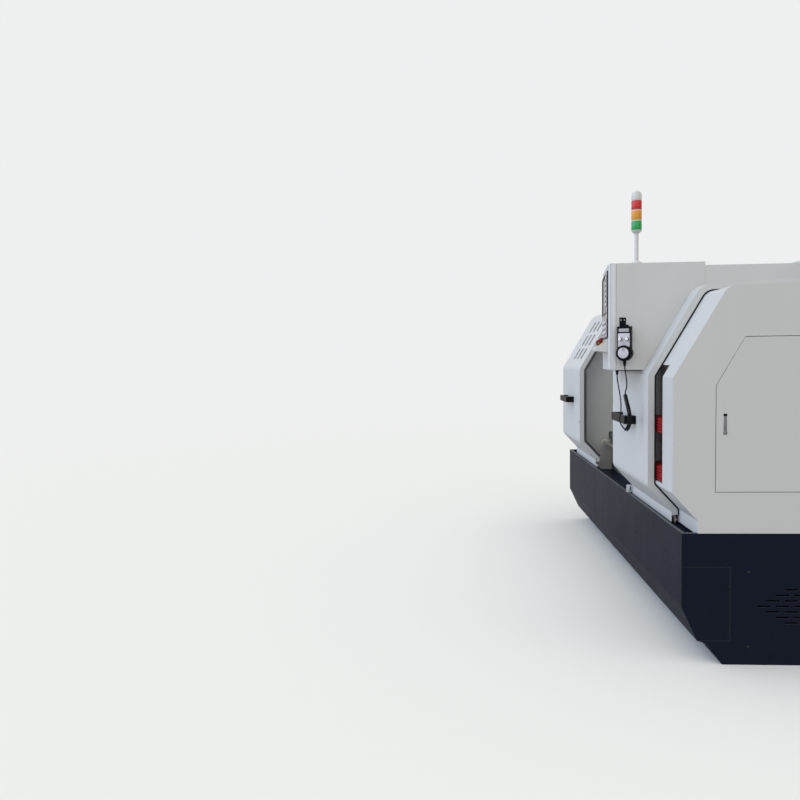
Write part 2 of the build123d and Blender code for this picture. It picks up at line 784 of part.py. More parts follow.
def spindle():
    """Gives the hollow spindle with its flanged nose and its belt pulley."""
    nose = HEAD_RIGHT + HEAD_COLLAR + 2
    tail = PULLEY_LEFT - SPINDLE_TAIL
    pulley = PULLEY_LEFT + PULLEY_WIDTH
    return spindle_place() * turned([
        (tail, SPINDLE_BORE_R), (tail, SPINDLE_R), (PULLEY_LEFT, SPINDLE_R), (PULLEY_LEFT, SPINDLE_PULLEY_R),
        (pulley, SPINDLE_PULLEY_R), (pulley, SPINDLE_R), (nose, SPINDLE_R), (nose, NOSE_R),
        (CHUCK_BACK, NOSE_R), (CHUCK_BACK, SPINDLE_BORE_R)])


def jaw_slot(growth):
    """Gives the slot of one jaw in the chuck's own frame, along +Z."""
    half = JAW_WIDTH / 2 + growth
    tongue = half + JAW_TONGUE
    face = CHUCK_BACK + CHUCK_LENGTH
    root = face - JAW_ROOT - growth
    near = SPINDLE_BORE_R / 2
    body = block(root, face + 1, -half, half, near, CHUCK_R + 1)
    return body + block(root, face - JAW_NECK + growth, -tongue, tongue, near, CHUCK_R + 1)


def chuck_body():
    """Gives the three-jaw chuck's body with its rounded rims, bore and jaw slots."""
    face = CHUCK_BACK + CHUCK_LENGTH
    body = turned([(CHUCK_BACK, CHUCK_BORE_R), (CHUCK_BACK, CHUCK_R - 4), (CHUCK_BACK + 4, CHUCK_R),
                   (face - 6, CHUCK_R), (face, CHUCK_R - 6), (face, CHUCK_BORE_R)])
    for turn in (0, 120, 240):
        body -= Rot(turn, 0, 0) * jaw_slot(RUNNING * 2)
    return spindle_place() * body


def chuck_jaw(turn):
    """Gives one stepped jaw on its tongue."""
    face = CHUCK_BACK + CHUCK_LENGTH
    half = JAW_WIDTH / 2
    tongue = half + JAW_TONGUE
    root = face - JAW_ROOT
    outer = JAW_INNER_R + JAW_LENGTH
    body = block(root, face + JAW_PROUD, -half, half, JAW_INNER_R, JAW_INNER_R + JAW_LENGTH / 2)
    body += block(root, face + JAW_PROUD / 2, -half, half, JAW_INNER_R, outer)
    body += block(root, face - JAW_NECK, -tongue, tongue, JAW_INNER_R, outer)
    return spindle_place() * Rot(turn, 0, 0) * body


def motor_pulley():
    """Gives the motor's pulley on its shaft."""
    pulley = PULLEY_LEFT + PULLEY_WIDTH
    end = HEAD_LEFT + 30
    body = turned([(PULLEY_LEFT, 0), (PULLEY_LEFT, MOTOR_PULLEY_R), (pulley, MOTOR_PULLEY_R),
                   (pulley, MOTOR_SHAFT_R), (end, MOTOR_SHAFT_R), (end, 0)])
    return Pos(0, behind(AXIS_IN), MOTOR_Z) * body


def spindle_motor():
    """Gives the square finned motor in the base, on its feet."""
    y = behind(AXIS_IN)
    left = HEAD_LEFT + 8
    right = left + MOTOR_LENGTH
    half = MOTOR_SIZE / 2
    fin_half = MOTOR_FIN_PITCH / 4
    body = block(left, right, y - half, y + half, MOTOR_Z - half, MOTOR_Z + half)
    for side in (-1, 1):
        for fin in range(MOTOR_FINS):
            z = MOTOR_Z + (fin - (MOTOR_FINS - 1) / 2) * MOTOR_FIN_PITCH
            middle = y + side * (half - 8)
            body -= block(left + 30, right - 50, middle - 8, middle + 8, z - fin_half, z + fin_half)
    body += block(left + 40, right - 60, y - half, y + half, MOTOR_BAY_FLOOR, MOTOR_Z - half)
    return body - rod_x(left - 1, left + 60, y, MOTOR_Z, MOTOR_SHAFT_R + RUNNING)


def drive_belt():
    """Gives the flat belt round both pulleys as a loop with straight runs."""
    y = behind(AXIS_IN)
    width = PULLEY_WIDTH - BELT_INSET * 2
    loops = []
    for growth in (TOUCH, TOUCH + BELT_THICK):
        top = SPINDLE_PULLEY_R + growth
        low = MOTOR_PULLEY_R + growth
        lean = (top - low) / (AXIS_Z - MOTOR_Z)
        side = cos(lean)
        rise = sin(lean)
        hull = [(y + side * top, AXIS_Z - rise * top), (y + side * low, MOTOR_Z - rise * low),
                (y - side * low, MOTOR_Z - rise * low), (y - side * top, AXIS_Z - rise * top)]
        body = extrude(Plane.YZ * make_face(Polyline(*hull, close=True).edges()), width)
        body += rod_x(0, width, y, AXIS_Z, top) + rod_x(0, width, y, MOTOR_Z, low)
        loops.append(body)
    return Pos(PULLEY_LEFT + BELT_INSET, 0, 0) * (loops[1] - loops[0])


# Feed drives and carriage
def servo(length, size):
    """Gives a servo motor that points along -X, with its shaft end at the origin."""
    half = size / 2
    body = block(0, 12, -half, half, -half, half)
    body += rod_x(12, length - 40, 0, 0, half - 4)
    body += block(length - 40, length, -half + 8, half - 8, -half + 8, half - 8)
    return body


def z_servo_motor():
    return Pos(BED_RIGHT, behind(SCREW_IN), SCREW_Z) * servo(Z_SERVO_LENGTH, Z_SERVO_SIZE)


def z_screw():
    lugs = screw_lugs()
    return rod_x(lugs[0], BED_RIGHT - TOUCH, behind(SCREW_IN), SCREW_Z, SCREW_R)


def saddle():
    """Gives the saddle that rides on both ways, with its apron and nut round the feed screw."""
    x0 = SADDLE_X - SADDLE_LENGTH / 2
    x1 = SADDLE_X + SADDLE_LENGTH / 2
    front = behind(BED_FRONT_IN)
    back = front + BED_WIDTH
    low = BED_TOP + TOUCH
    top = BED_TOP + SADDLE_THICK
    inner0 = x0 + SADDLE_WING
    inner1 = x1 - SADDLE_WING
    body = block(x0, x1, front - 15, front + WAY_WIDTH + 10, low, top - SADDLE_STEP)
    body += block(x0, x1, back - WAY_WIDTH - 10, back + 12, low, top - SADDLE_STEP)
    body += block(inner0, inner1, front - APRON_FRONT, back + 12, low, top)
    body += block(inner0, inner1, front - APRON_FRONT, front - TOUCH, SCREW_Z - SCREW_NUT_SIDE, top - 10)
    body -= rod_x(x0, x1, behind(SCREW_IN), SCREW_Z, SCREW_R + RUNNING)
    body -= block(SADDLE_X - X_SLOT_HALF, SADDLE_X + X_SLOT_HALF, front - X_SLOT_HALF, back - BED_WALL,
                  top - X_SLOT_HALF, top + 1)
    return body


def x_servo_motor():
    y = behind(BED_FRONT_IN) + BED_WIDTH + 12
    place = Pos(SADDLE_X, y, BED_TOP + X_SERVO_SIZE / 2 + 1) * Rot(0, 0, 90)
    return place * servo(X_SERVO_LENGTH, X_SERVO_SIZE)


def x_screw():
    front = behind(BED_FRONT_IN) - X_SLOT_HALF
    back = behind(BED_FRONT_IN) + BED_WIDTH - BED_WALL
    return rod_y(SADDLE_X, front + TOUCH, back - TOUCH, BED_TOP + SADDLE_THICK - X_SCREW_DROP, X_SCREW_R)


def cross_slide():
    """Gives the cross slide with its chamfered top edges and two clamping slots."""
    low = BED_TOP + SADDLE_THICK + TOUCH
    y0 = behind(CROSS_IN)
    half = CROSS_WIDTH / 2
    body = block(SADDLE_X - half, SADDLE_X + half, y0, y0 + CROSS_LENGTH, low, CROSS_TOP)
    body = chamfer(body.edges().filter_by(Axis.Y).group_by(Axis.Z)[-1], 8)
    for side in (-1, 1):
        x = SADDLE_X + side * TEE_SLOT_X
        body -= block(x - TEE_SLOT_HALF, x + TEE_SLOT_HALF, y0 - 1, y0 + CROSS_LENGTH + 1,
                      CROSS_TOP - TEE_SLOT_DEPTH, CROSS_TOP + 1)
    return body


def tool_base():
    """Gives the tool holder's foot: a plate on the cross slide and a round column."""
    y = behind(TOOL_POST_IN)
    half = TOOL_POST / 2
    body = rod_z(SADDLE_X, y, CROSS_TOP, CROSS_TOP + TOOL_BASE_HEIGHT, half - 4)
    body += block(SADDLE_X - half, SADDLE_X + half, y - half, y + half, CROSS_TOP, CROSS_TOP + TOOL_PLATE)
    return body


def tool_head():
    """Gives the square four-sided tool holder with its slots, clamp screws and four tools."""
    half = TOOL_POST / 2
    low = TOOL_SLOT_LOW
    high = low + TOOL_SLOT_HEIGHT
    shank_high = high - 6
    overhang = half + 18
    body = block(-half, half, -half, half, 0, TOOL_HEAD_HEIGHT)
    for turn in range(4):
        body -= Rot(0, 0, turn * 90) * block(-half - 1, half + 1, half - TOOL_SLOT_DEPTH, half + 1, low, high)
    for turn in range(4):
        shank = block(-overhang, half - 45, half - TOOL_SLOT_DEPTH + 1, half - 5, low, shank_high)
        tip = block(-overhang, -half - 6, half - 5, half + 4, shank_high - 8, shank_high)
        body += Rot(0, 0, turn * 90) * (shank + tip)
        for step in (-45, -5):
            body += Rot(0, 0, turn * 90) * rod_z(step, half - 16, TOOL_HEAD_HEIGHT, TOOL_HEAD_HEIGHT + 8, 7)
    body += rod_z(0, 0, TOOL_HEAD_HEIGHT, TOOL_HEAD_HEIGHT + 14, 32)
    return Pos(SADDLE_X, behind(TOOL_POST_IN), CROSS_TOP + TOOL_BASE_HEIGHT + TOUCH) * body


# Tailstock
def tailstock_body():
    """Gives the tailstock casting: a wide foot, a neck and a round-shouldered barrel."""
    near = AXIS_IN - TAIL_WIDTH / 2
    far = AXIS_IN + TAIL_WIDTH / 2
    low = BED_TOP + TOUCH
    neck_near = AXIS_IN - TAIL_NECK
    neck_far = AXIS_IN + TAIL_NECK
    throat = AXIS_Z - TAIL_THROAT
    shoulder = AXIS_Z + TAIL_SHOULDER
    crown = AXIS_Z + TAIL_CROWN
    section = [(near, low), (far, low), (far, low + TAIL_FOOT), (neck_far, throat), (neck_far, shoulder),
               (AXIS_IN + TAIL_CROWN_HALF, crown), (AXIS_IN - TAIL_CROWN_HALF, crown), (neck_near, shoulder),
               (neck_near, throat), (near, low + TAIL_FOOT)]
    y = behind(AXIS_IN)
    right = TAIL_LEFT + TAIL_LENGTH
    body = prism(section, TAIL_LEFT, right)
    body -= rod_x(TAIL_LEFT - 1, right - 30, y, AXIS_Z, QUILL_R + RUNNING)
    body -= rod_x(TAIL_LEFT, right + 1, y, AXIS_Z, TAIL_SCREW_R + RUNNING)
    body -= rod_y(TAIL_LEFT + LEVER_IN, y - TAIL_NECK * 2, y - QUILL_R - 7, AXIS_Z - LEVER_DROP,
                  LEVER_SHAFT_R + RUNNING)
    return body


def quill():
    """Gives the quill with its centre, over the hand wheel's screw."""
    tip = TAIL_LEFT - QUILL_REACH
    end = TAIL_LEFT + QUILL_BODY
    deep = tip + QUILL_REACH
    body = turned([(tip, 0), (tip, QUILL_R - 4), (tip + 4, QUILL_R), (end, QUILL_R), (end, QUILL_BORE_R),
                   (deep, QUILL_BORE_R), (deep, 0)])
    collar = tip - CENTRE_R / 2
    centre = turned([(tip, 0), (tip, CENTRE_R), (collar, CENTRE_R), (collar - CENTRE_R * CENTRE_TAPER, 0)])
    return spindle_place() * (body + centre)


def handwheel():
    """Gives the tailstock's spoked hand wheel on its screw."""
    back = TAIL_LEFT + TAIL_LENGTH + TOUCH
    x = TAIL_LEFT + TAIL_LENGTH + WHEEL_ROOM + 12
    middle = WHEEL_R - WHEEL_RIM_R
    body = Pos(x, 0, 0) * Rot(0, 90, 0) * Torus(middle, WHEEL_RIM_R)
    body += rod_x(back, x + 14, 0, 0, WHEEL_HUB_R) + rod_x(TAIL_LEFT + 30, back, 0, 0, TAIL_SCREW_R)
    for turn in (0, 120, 240):
        body += Rot(turn, 0, 0) * block(x - 6, x + 6, -8, 8, 10, middle - 2)
    body += rod_x(x, x + 58, 0, middle, 9)
    return spindle_place() * body


def clamp_lever():
    """Gives the quill clamp lever, turned about a shaft along Y."""
    inner = behind(AXIS_IN) - QUILL_R - 8
    face = behind(AXIS_IN) - TAIL_NECK
    x = TAIL_LEFT + LEVER_IN
    z = AXIS_Z - LEVER_DROP
    body = rod_y(x, face - TOUCH - 22, inner, z, LEVER_SHAFT_R) + rod_y(x, face - 24, face - TOUCH, z, 15)
    body += block(x - 6, x + 6, face - 20, face - 8, z, z + LEVER_LENGTH - 5)
    body += Pos(x, face - 14, z + LEVER_LENGTH) * Sphere(LEVER_BALL_R)
    return body


# Sliding doors
def slope_place(x, along, lift):
    """Gives a place on the doors' slanted face: along the door, up the slope and off the covers."""
    run_y = COVER_BROW_IN - COVER_FACE_IN
    run_z = COVER_BROW - COVER_FACE_HIGH
    slope = atan2(run_z, run_y)
    y = behind(COVER_FACE_IN) + cos(slope) * along
    z = COVER_FACE_HIGH + sin(slope) * along
    return Pos(x, y, z) * Rot(degrees(slope), 0, 0) * Pos(0, 0, lift)


def grille_cuts(middle):
    """Gives the grid of window openings in the slanted face."""
    bars = []
    for row in range(GRILLE_ROWS):
        for column in range(GRILLE_COLUMNS):
            along = GRILLE_MIDDLE + (row - (GRILLE_ROWS - 1) / 2) * GRILLE_ROW_PITCH
            x = middle + (column - (GRILLE_COLUMNS - 1) / 2) * GRILLE_PITCH
            bars.append(slope_place(x, along, DOOR_STANDOFF) * Box(GRILLE_WIDTH, GRILLE_LENGTH, 30))
    return bars


def door_shell(x0, x1):
    """Gives one sliding door: a folded sheet with a flange at each end and a lip in the gutter."""
    trim = block(x0 - 1, x1 + 1, behind(-200), behind(200), 0, DOOR_LIP)
    body = shell(DOOR_STANDOFF - SHEET, DOOR_STANDOFF, x0, x1, DOOR_BACK_IN)
    inner = DOOR_STANDOFF - DOOR_FLANGE
    flanges = shell(inner, DOOR_STANDOFF, x0, x0 + SHEET, GUARD_IN)
    flanges += shell(inner, DOOR_STANDOFF, x1 - SHEET, x1, GUARD_IN)
    flanges -= block(x0 - 1, x1 + 1, behind(-200), behind(200), 0, DOOR_LIP + LIP_HEIGHT)
    body = body + flanges - trim
    top = roof(DOOR_BACK_IN) + DOOR_STANDOFF - SHEET + 1
    for x in (x0 + SHOE_END, x1 - SHOE_END - SHOE_LENGTH):
        body += block(x, x + SHOE_LENGTH, behind(GUARD_IN + SHOE_EDGE), behind(BASE_DEPTH - SHOE_EDGE),
                      TOP_RAIL_TOP + TOUCH, top)
    return body


LIP_BACK_IN = COVER_FOOT_IN - DOOR_STANDOFF + SHEET
ROLLER_Z = RAIL_TOP + TOUCH + ROLLER_R
CARRIER_LEVEL = ROLLER_Z + ROLLER_R + 3
LEFT_ROLLERS = (LEFT_DOOR_EDGE - DOOR_LENGTH_LEFT + 60, LEFT_DOOR_EDGE + 14)
RIGHT_ROLLERS = (RIGHT_DOOR_EDGE - 42, RIGHT_DOOR_EDGE + DOOR_LENGTH_RIGHT - 30)


def roller_bracket(x, anchor, track_in, low, high):
    """Gives the strip from the door's lip to one roller's plate, with the roller's pin."""
    strip_y = behind(LIP_BACK_IN) + TOUCH
    y = behind(track_in)
    near = y - ROLLER_WIDTH / 2 - TOUCH
    left = x - BRACKET_HALF
    right = x + BRACKET_HALF
    body = block(min(left, anchor), max(right, anchor), strip_y, strip_y + SHEET, low, high)
    body += block(anchor - ANCHOR_HALF, anchor + ANCHOR_HALF, strip_y - TOUCH - 1, strip_y + SHEET, low, high)
    body += block(left, right, strip_y, near, high - SHEET, high)
    body += block(left, right, near - SHEET, near, ROLLER_Z - 9, high)
    return body + rod_y(x, near - 1, y + ROLLER_WIDTH / 2 + 1, ROLLER_Z, ROLLER_PIN_R)


def left_door():
    """Gives the left door; its brackets pass under those of the right door."""
    body = door_shell(LEFT_DOOR_EDGE - DOOR_LENGTH_LEFT, LEFT_DOOR_EDGE) - grille_cuts(GRILLE_X)
    outer, inner = LEFT_ROLLERS
    low = DOOR_LIP + 2
    high = CARRIER_LEVEL - SHEET
    body += roller_bracket(outer, outer, LEFT_TRACK_IN, low, high)
    return body + roller_bracket(inner, LEFT_DOOR_EDGE - ANCHOR_IN, LEFT_TRACK_IN, low, high)


def right_door():
    """Gives the right door; its brackets reach over those of the left door."""
    body = door_shell(RIGHT_DOOR_EDGE, RIGHT_DOOR_EDGE + DOOR_LENGTH_RIGHT)
    inner, outer = RIGHT_ROLLERS
    high = CARRIER_LEVEL + BRACKET_HEIGHT
    body += roller_bracket(outer, outer, RIGHT_TRACK_IN, CARRIER_LEVEL, high)
    return body + roller_bracket(inner, RIGHT_DOOR_EDGE + ANCHOR_IN, RIGHT_TRACK_IN, CARRIER_LEVEL, high)


def roller(x, track_in):
    y = behind(track_in)
    half = ROLLER_WIDTH / 2
    bore = rod_y(x, y - half - 1, y + half + 1, ROLLER_Z, ROLLER_PIN_R + RUNNING)
    return rod_y(x, y - half, y + half, ROLLER_Z, ROLLER_R) - bore


def left_door_window():
    """Gives the clear pane behind the window openings, laid on the inside of the slanted face."""
    width = (GRILLE_COLUMNS - 1) * GRILLE_PITCH + GRILLE_WIDTH + PANE_MARGIN * 2
    height = (GRILLE_ROWS - 1) * GRILLE_ROW_PITCH + GRILLE_LENGTH + PANE_MARGIN * 2
    lift = DOOR_STANDOFF - SHEET - PANE_THICK / 2
    return slope_place(GRILLE_X, GRILLE_MIDDLE, lift) * Box(width, height, PANE_THICK)


def door_handle(right_end):
    """Gives one cast handle: a solid block at its right end and a looped grip to its left."""
    y_face = behind(COVER_FACE_IN - DOOR_STANDOFF)
    y_out = y_face - HANDLE_PROUD
    low = HANDLE_Z - HANDLE_HEIGHT / 2
    high = HANDLE_Z + HANDLE_HEIGHT / 2
    left_end = right_end - HANDLE_LENGTH
    body = block(right_end - HANDLE_BLOCK, right_end, y_out, y_face, low, high)
    body += block(left_end, right_end, y_out, y_out + HANDLE_BAR, low, high)
    body += block(left_end, left_end + HANDLE_BAR * 1.5, y_out, y_face, low, high)
    return fillet(body.edges().filter_by(Axis.Z).group_by(Axis.Y)[0], HANDLE_R)


# Control box
FACE_LENGTH = hypot(BOX_WIDTH, BOX_YAW_SET)
FACE_ALONG = (BOX_WIDTH / FACE_LENGTH, -BOX_YAW_SET / FACE_LENGTH, 0)
FACE_OUT = (-BOX_YAW_SET / FACE_LENGTH, -BOX_WIDTH / FACE_LENGTH, 0)
FACE = Plane(origin=(BOX_RIGHT - BOX_WIDTH / 2, behind(BOX_FRONT_IN + BOX_YAW_SET / 2), 0),
             x_dir=FACE_ALONG, z_dir=FACE_OUT)
SHELF_SLOPE = degrees(atan2(SHELF_HIGH - SHELF_LIP, SHELF_REACH))
SHELF_OUT = (FACE_OUT[0] * sin(radians(SHELF_SLOPE)), FACE_OUT[1] * sin(radians(SHELF_SLOPE)),
             cos(radians(SHELF_SLOPE)))


def on_face(u, height, out):
    """Gives the place of a point on the screen face: across, up and outwards."""
    return FACE.location * Pos(u, height, out)


def on_shelf(u):
    """Gives the place of a control on the sloping button shelf."""
    middle = (SHELF_HIGH + SHELF_LIP) / 2
    centre = FACE.from_local_coords((u, middle, SHELF_REACH / 2))
    return Plane(origin=centre, x_dir=FACE_ALONG, z_dir=SHELF_OUT).location


def console_box():
    """Gives the folded control box that sits over the door's slope, with shelf and cable duct."""
    c = BOX_CHAMFER
    section = [(BOX_FRONT_IN, BOX_LOW + c), (BOX_FRONT_IN + c, BOX_LOW), (0, BOX_LOW),
               (BOX_BACK_IN, roof(BOX_BACK_IN) - BOX_SINK), (BOX_BACK_IN, BOX_HIGH),
               (BOX_FRONT_IN + c, BOX_HIGH), (BOX_FRONT_IN, BOX_HIGH - c)]
    body = prism(section, BOX_LEFT, BOX_RIGHT)
    body += block(BOX_RIGHT - DUCT_WIDTH, BOX_RIGHT, behind(BOX_BACK_IN), behind(DOOR_BACK_IN - TANK_CLEAR),
                  roof(BOX_BACK_IN), roof(BOX_BACK_IN) + DOOR_STANDOFF + DUCT_HEIGHT)
    middle = (BOX_LOW + BOX_HIGH) / 2
    tall = BOX_HIGH - BOX_LOW + 40
    body -= on_face(0, middle, 200) * Box(FACE_LENGTH + 200, tall, 400)
    body -= on_face(FACE_LENGTH / 2, middle, 0) * Rot(0, 45, 0) * Box(BOX_CORNER, tall, BOX_CORNER)
    back_in = DOOR_BACK_IN + 20
    under = Plane.YZ * (end_section(back_in) + strip(DOOR_STANDOFF, back_in))
    body -= Pos(BOX_LEFT - 1, 0, 0) * extrude(under, BOX_WIDTH + 2)
    unit_height = UNIT_HIGH - UNIT_LOW
    body -= on_face(0, (UNIT_LOW + UNIT_HIGH) / 2, -UNIT_DEPTH / 2) * Box(UNIT_WIDTH, unit_height, UNIT_DEPTH)
    body -= box_seam()
    return body + button_shelf()


def box_seam():
    """Gives the shallow joint line between the box and its front frame, as a ring to cut away."""
    middle = (BOX_LOW + BOX_HIGH) / 2
    place = on_face(0, middle, -BOX_SEAM_IN)
    ring = place * Box(FACE_LENGTH + 60, BOX_HIGH - BOX_LOW + 20, BOX_SEAM)
    core = block(BOX_LEFT + BOX_SEAM, BOX_RIGHT - BOX_SEAM, behind(BOX_FRONT_IN) - 60, behind(BOX_BACK_IN),
                 BOX_LOW - 20, BOX_HIGH - BOX_SEAM)
    return ring - core


def button_shelf():
    """Gives the sloping shelf under the screen with the bores for its controls."""
    half = UNIT_WIDTH / 2
    side = [(0, SHELF_LOW), (-SHELF_REACH, SHELF_LOW + 8), (-SHELF_REACH, SHELF_LIP), (0, SHELF_HIGH)]
    outline = make_face(Polyline(*side, close=True).edges())
    place = Plane(origin=FACE.from_local_coords((-half, 0, 0)), x_dir=tuple(-a for a in FACE_OUT),
                  z_dir=FACE_ALONG)
    body = extrude(place * outline, UNIT_WIDTH)
    for u in (STOP_U, START_U, HOLD_U, KNOB_U):
        body -= on_shelf(u) * Pos(0, 0, -BUTTON_SINK / 2) * Cylinder(BUTTON_STEM_R + RUNNING, BUTTON_SINK)
    return body


def control_unit():
    """Gives the moulded front of the control: a bezel with a screen recess and raised keys."""
    thick = UNIT_DEPTH + UNIT_PROUD
    height = UNIT_HIGH - UNIT_LOW
    body = on_face(0, UNIT_LOW + height / 2, UNIT_PROUD - thick / 2) * Box(UNIT_WIDTH - 1, height - 1, thick)
    body -= on_face(SCREEN_SIDE, (SCREEN_LOW + SCREEN_HIGH) / 2, UNIT_PROUD) * Box(
        SCREEN_WIDTH, SCREEN_HIGH - SCREEN_LOW, SCREEN_SET * 2)
    left = SCREEN_SIDE + SCREEN_WIDTH / 2 + 38
    places = [(left + column * KEY_PITCH, SCREEN_HIGH - 14 - row * KEY_PITCH)
              for column in range(KEY_COLUMNS) for row in range(KEY_ROWS)]
    left = -(LOW_KEY_COLUMNS - 1) / 2 * KEY_PITCH
    places += [(left + column * KEY_PITCH, UNIT_LOW + 34 + row * KEY_PITCH)
               for column in range(LOW_KEY_COLUMNS) for row in range(LOW_KEY_ROWS)]
    key = Box(KEY_SIZE, KEY_SIZE, KEY_PROUD + 0.5)
    return body + [on_face(u, z, UNIT_PROUD + (KEY_PROUD - 0.5) / 2) * key for u, z in places]


def screen_glass():
    return on_face(SCREEN_SIDE, (SCREEN_LOW + SCREEN_HIGH) / 2, UNIT_PROUD - SCREEN_SET + 1.5) * Box(
        SCREEN_WIDTH - TOUCH * 2, SCREEN_HIGH - SCREEN_LOW - TOUCH * 2, 3)


def push_button():
    """Gives a flat push button, pointing along its own +Z."""
    return Pos(0, 0, 9) * Cylinder(BUTTON_R, 8) + Pos(0, 0, -3) * Cylinder(BUTTON_STEM_R, 18)


def emergency_stop():
    head = Pos(0, 0, 20) * Cylinder(STOP_R, 12)
    head = fillet(head.edges().group_by(Axis.Z)[-1], 5)
    body = head + Pos(0, 0, 5) * Cylinder(BUTTON_STEM_R, 26)
    return on_shelf(STOP_U) * body


def feed_knob():
    body = Pos(0, 0, 9) * Cylinder(KNOB_SIZE_R, 17) + Pos(0, 0, -3) * Cylinder(BUTTON_STEM_R, 12)
    body += Pos(0, 10, 18) * Box(3, 8, 3)
    return on_shelf(KNOB_U) * body


# Hand pendant
PENDANT_X = BOX_RIGHT + PENDANT_STAND
PENDANT_OUT = (cos(radians(PENDANT_YAW)), -sin(radians(PENDANT_YAW)), 0)
PENDANT_ALONG = (sin(radians(PENDANT_YAW)), cos(radians(PENDANT_YAW)), 0)
PENDANT = Plane(origin=(PENDANT_X, behind(PENDANT_IN), 0), x_dir=PENDANT_ALONG, z_dir=PENDANT_OUT)


def on_pendant(u, height, out):
    return PENDANT.location * Pos(u, height, out)


def pendant_hook():
    """Gives the bent hook plate on the side of the control box."""
    y = behind(HOOK_IN)
    body = block(BOX_RIGHT, BOX_RIGHT + SHEET, y - HOOK_HALF, y + HOOK_HALF, PENDANT_HIGH - 70, HOOK_HIGH)
    arm = on_pendant(0, PENDANT_HIGH + 8, -PENDANT_STAND / 2) * Box(HOOK_ARM, SHEET, PENDANT_STAND)
    body += arm & block(BOX_RIGHT, BOX_RIGHT + 200, behind(BOX_FRONT_IN), behind(0), BOX_LOW, BOX_HIGH)
    body += on_pendant(0, PENDANT_HIGH - 16, 0) * Box(HOOK_ARM, 50, SHEET)
    for side in (-1, 1):
        body -= rod_x(BOX_RIGHT - 1, BOX_RIGHT + 9, y + side * HOOK_HALF / 2, HOOK_HIGH - 12, 4)
    return body


def pendant_body():
    """Gives the pendant's moulded housing: a narrow upper half over a round dial seat."""
    height = PENDANT_HIGH - DIAL_Z
    body = on_pendant(0, (PENDANT_HIGH + DIAL_Z) / 2, PENDANT_DEPTH / 2 + 2) * Box(PENDANT_WIDTH - 8, height,
                                                                                  PENDANT_DEPTH)
    body += on_pendant(0, DIAL_Z, PENDANT_DEPTH / 2 + 2) * Cylinder(PENDANT_WIDTH / 2 + 2, PENDANT_DEPTH)
    body -= on_pendant(0, DIAL_Z, PENDANT_DEPTH + 2) * Cylinder(DIAL_R + 1, 8)
    for side in (-1, 1):
        body -= on_pendant(side * KNOB_PITCH / 2, KNOB_Z, PENDANT_DEPTH) * Cylinder(4 + RUNNING, 16)
    body -= on_pendant(0, DIAL_Z, PENDANT_DEPTH - 4) * Cylinder(5 + RUNNING, 16)
    foot = on_pendant(0, DIAL_Z - PENDANT_WIDTH / 2 - 12, PENDANT_DEPTH / 2 + 2) * Rot(90, 0, 0)
    return body + foot * Cone(9, 5.5, 26)


def pendant_dial():
    body = on_pendant(0, DIAL_Z, PENDANT_DEPTH + 6) * Cylinder(DIAL_R, 12)
    body += on_pendant(0, DIAL_Z, PENDANT_DEPTH - 2) * Cylinder(5, 10)
    return body + on_pendant(0, DIAL_Z + DIAL_R * 0.62, PENDANT_DEPTH + 15) * Cylinder(6, 8)


def pendant_knob(side):
    body = on_pendant(side * KNOB_PITCH / 2, KNOB_Z, PENDANT_DEPTH + 8) * Cylinder(KNOB_R, 11)
    return body + on_pendant(side * KNOB_PITCH / 2, KNOB_Z, PENDANT_DEPTH) * Cylinder(4, 12)


# Cord of the pendant, as points of (distance right of the box, distance behind the front, height)
CORD_DOWN = [(37.9, -173, 1368), (37, -169, 1336), (34, -163, 1300), (31, -161, 1262), (28, -168, 1228)]
CORD_COIL = [(28, -168, 1228), (26, -162, 1195), (23, -150, 1150), (19, -143, 1103), (13, -148, 1064),
             (6, -166, 1044), (-1, -186, 1058), (-5, -191, 1090)]
CORD_UP = [(-5, -191, 1090), (-8, -186, 1126), (-11, -181, 1180), (-14, -187, 1236), (-17, -196, 1290),
           (-18, -198, 1322)]


def cord_tube(points, radius, name):
    """Sweeps a round tube along straight runs that tangent arcs join."""
    path = [Vector(BOX_RIGHT + x, behind(y), z) for x, y, z in points]
    radii = []
    for before, here, after in zip(path, path[1:], path[2:]):
        turn = (here - before).get_angle(after - here)
        shorter = min((here - before).length, (after - here).length)
        radii.append(0.45 * shorter / tan(radians(turn / 2)))
    line = FilletPolyline(*path, radius=radii)
    section = Plane(origin=line @ 0, z_dir=line % 0) * Circle(radius)
    tube = sweep(section, path=line)
    expected = pi * radius ** 2 * line.length
    print(name, "radii", [round(r) for r in radii], "volume", round(tube.volume / expected, 4))
    return tube


def cord_gland():
    """Gives the cable gland under the control box."""
    x, y, z = CORD_UP[-1]
    body = rod_z(BOX_RIGHT + x, behind(y), BOX_LOW - 9, BOX_LOW, 9)
    return body + rod_z(BOX_RIGHT + x, behind(y), z, BOX_LOW - 8, CORD_R * 2 + 0.5)


# Signal lamp
def lamp_tower():
    """Gives the signal lamp on the control box: a foot, a pole and a stack of three lenses."""
    base = BOX_HIGH
    low = base + POLE_LENGTH
    half = [(0, base), (LAMP_FOOT_R, base), (LAMP_FOOT_R, base + 6), (12, base + 14), (POLE_R, base + 18),
            (POLE_R, low - 15), (LAMP_R - 4, low - 5), (LAMP_R, low)]
    for number in range(1, 4):
        joint = low + number * LENS_HEIGHT
        half += [(LAMP_R, joint - LAMP_WAIST), (LAMP_R - LAMP_WAIST, joint), (LAMP_R, joint + LAMP_WAIST)]
    half += [(LAMP_R, LAMP_TOP - 26), (LAMP_R - 4, LAMP_TOP - 8), (POLE_R, LAMP_TOP), (0, LAMP_TOP)]
    return Pos(BOX_RIGHT - LAMP_FROM_SIDE, behind(LAMP_IN), 0) * turned_z(half)


def turned_z(points):
    """Revolves a half section of (radius, height) points about the Z axis."""
    outline = make_face(Polyline(*points, close=True).edges())
    return revolve(Plane.XZ * outline, Axis.Z, 360)


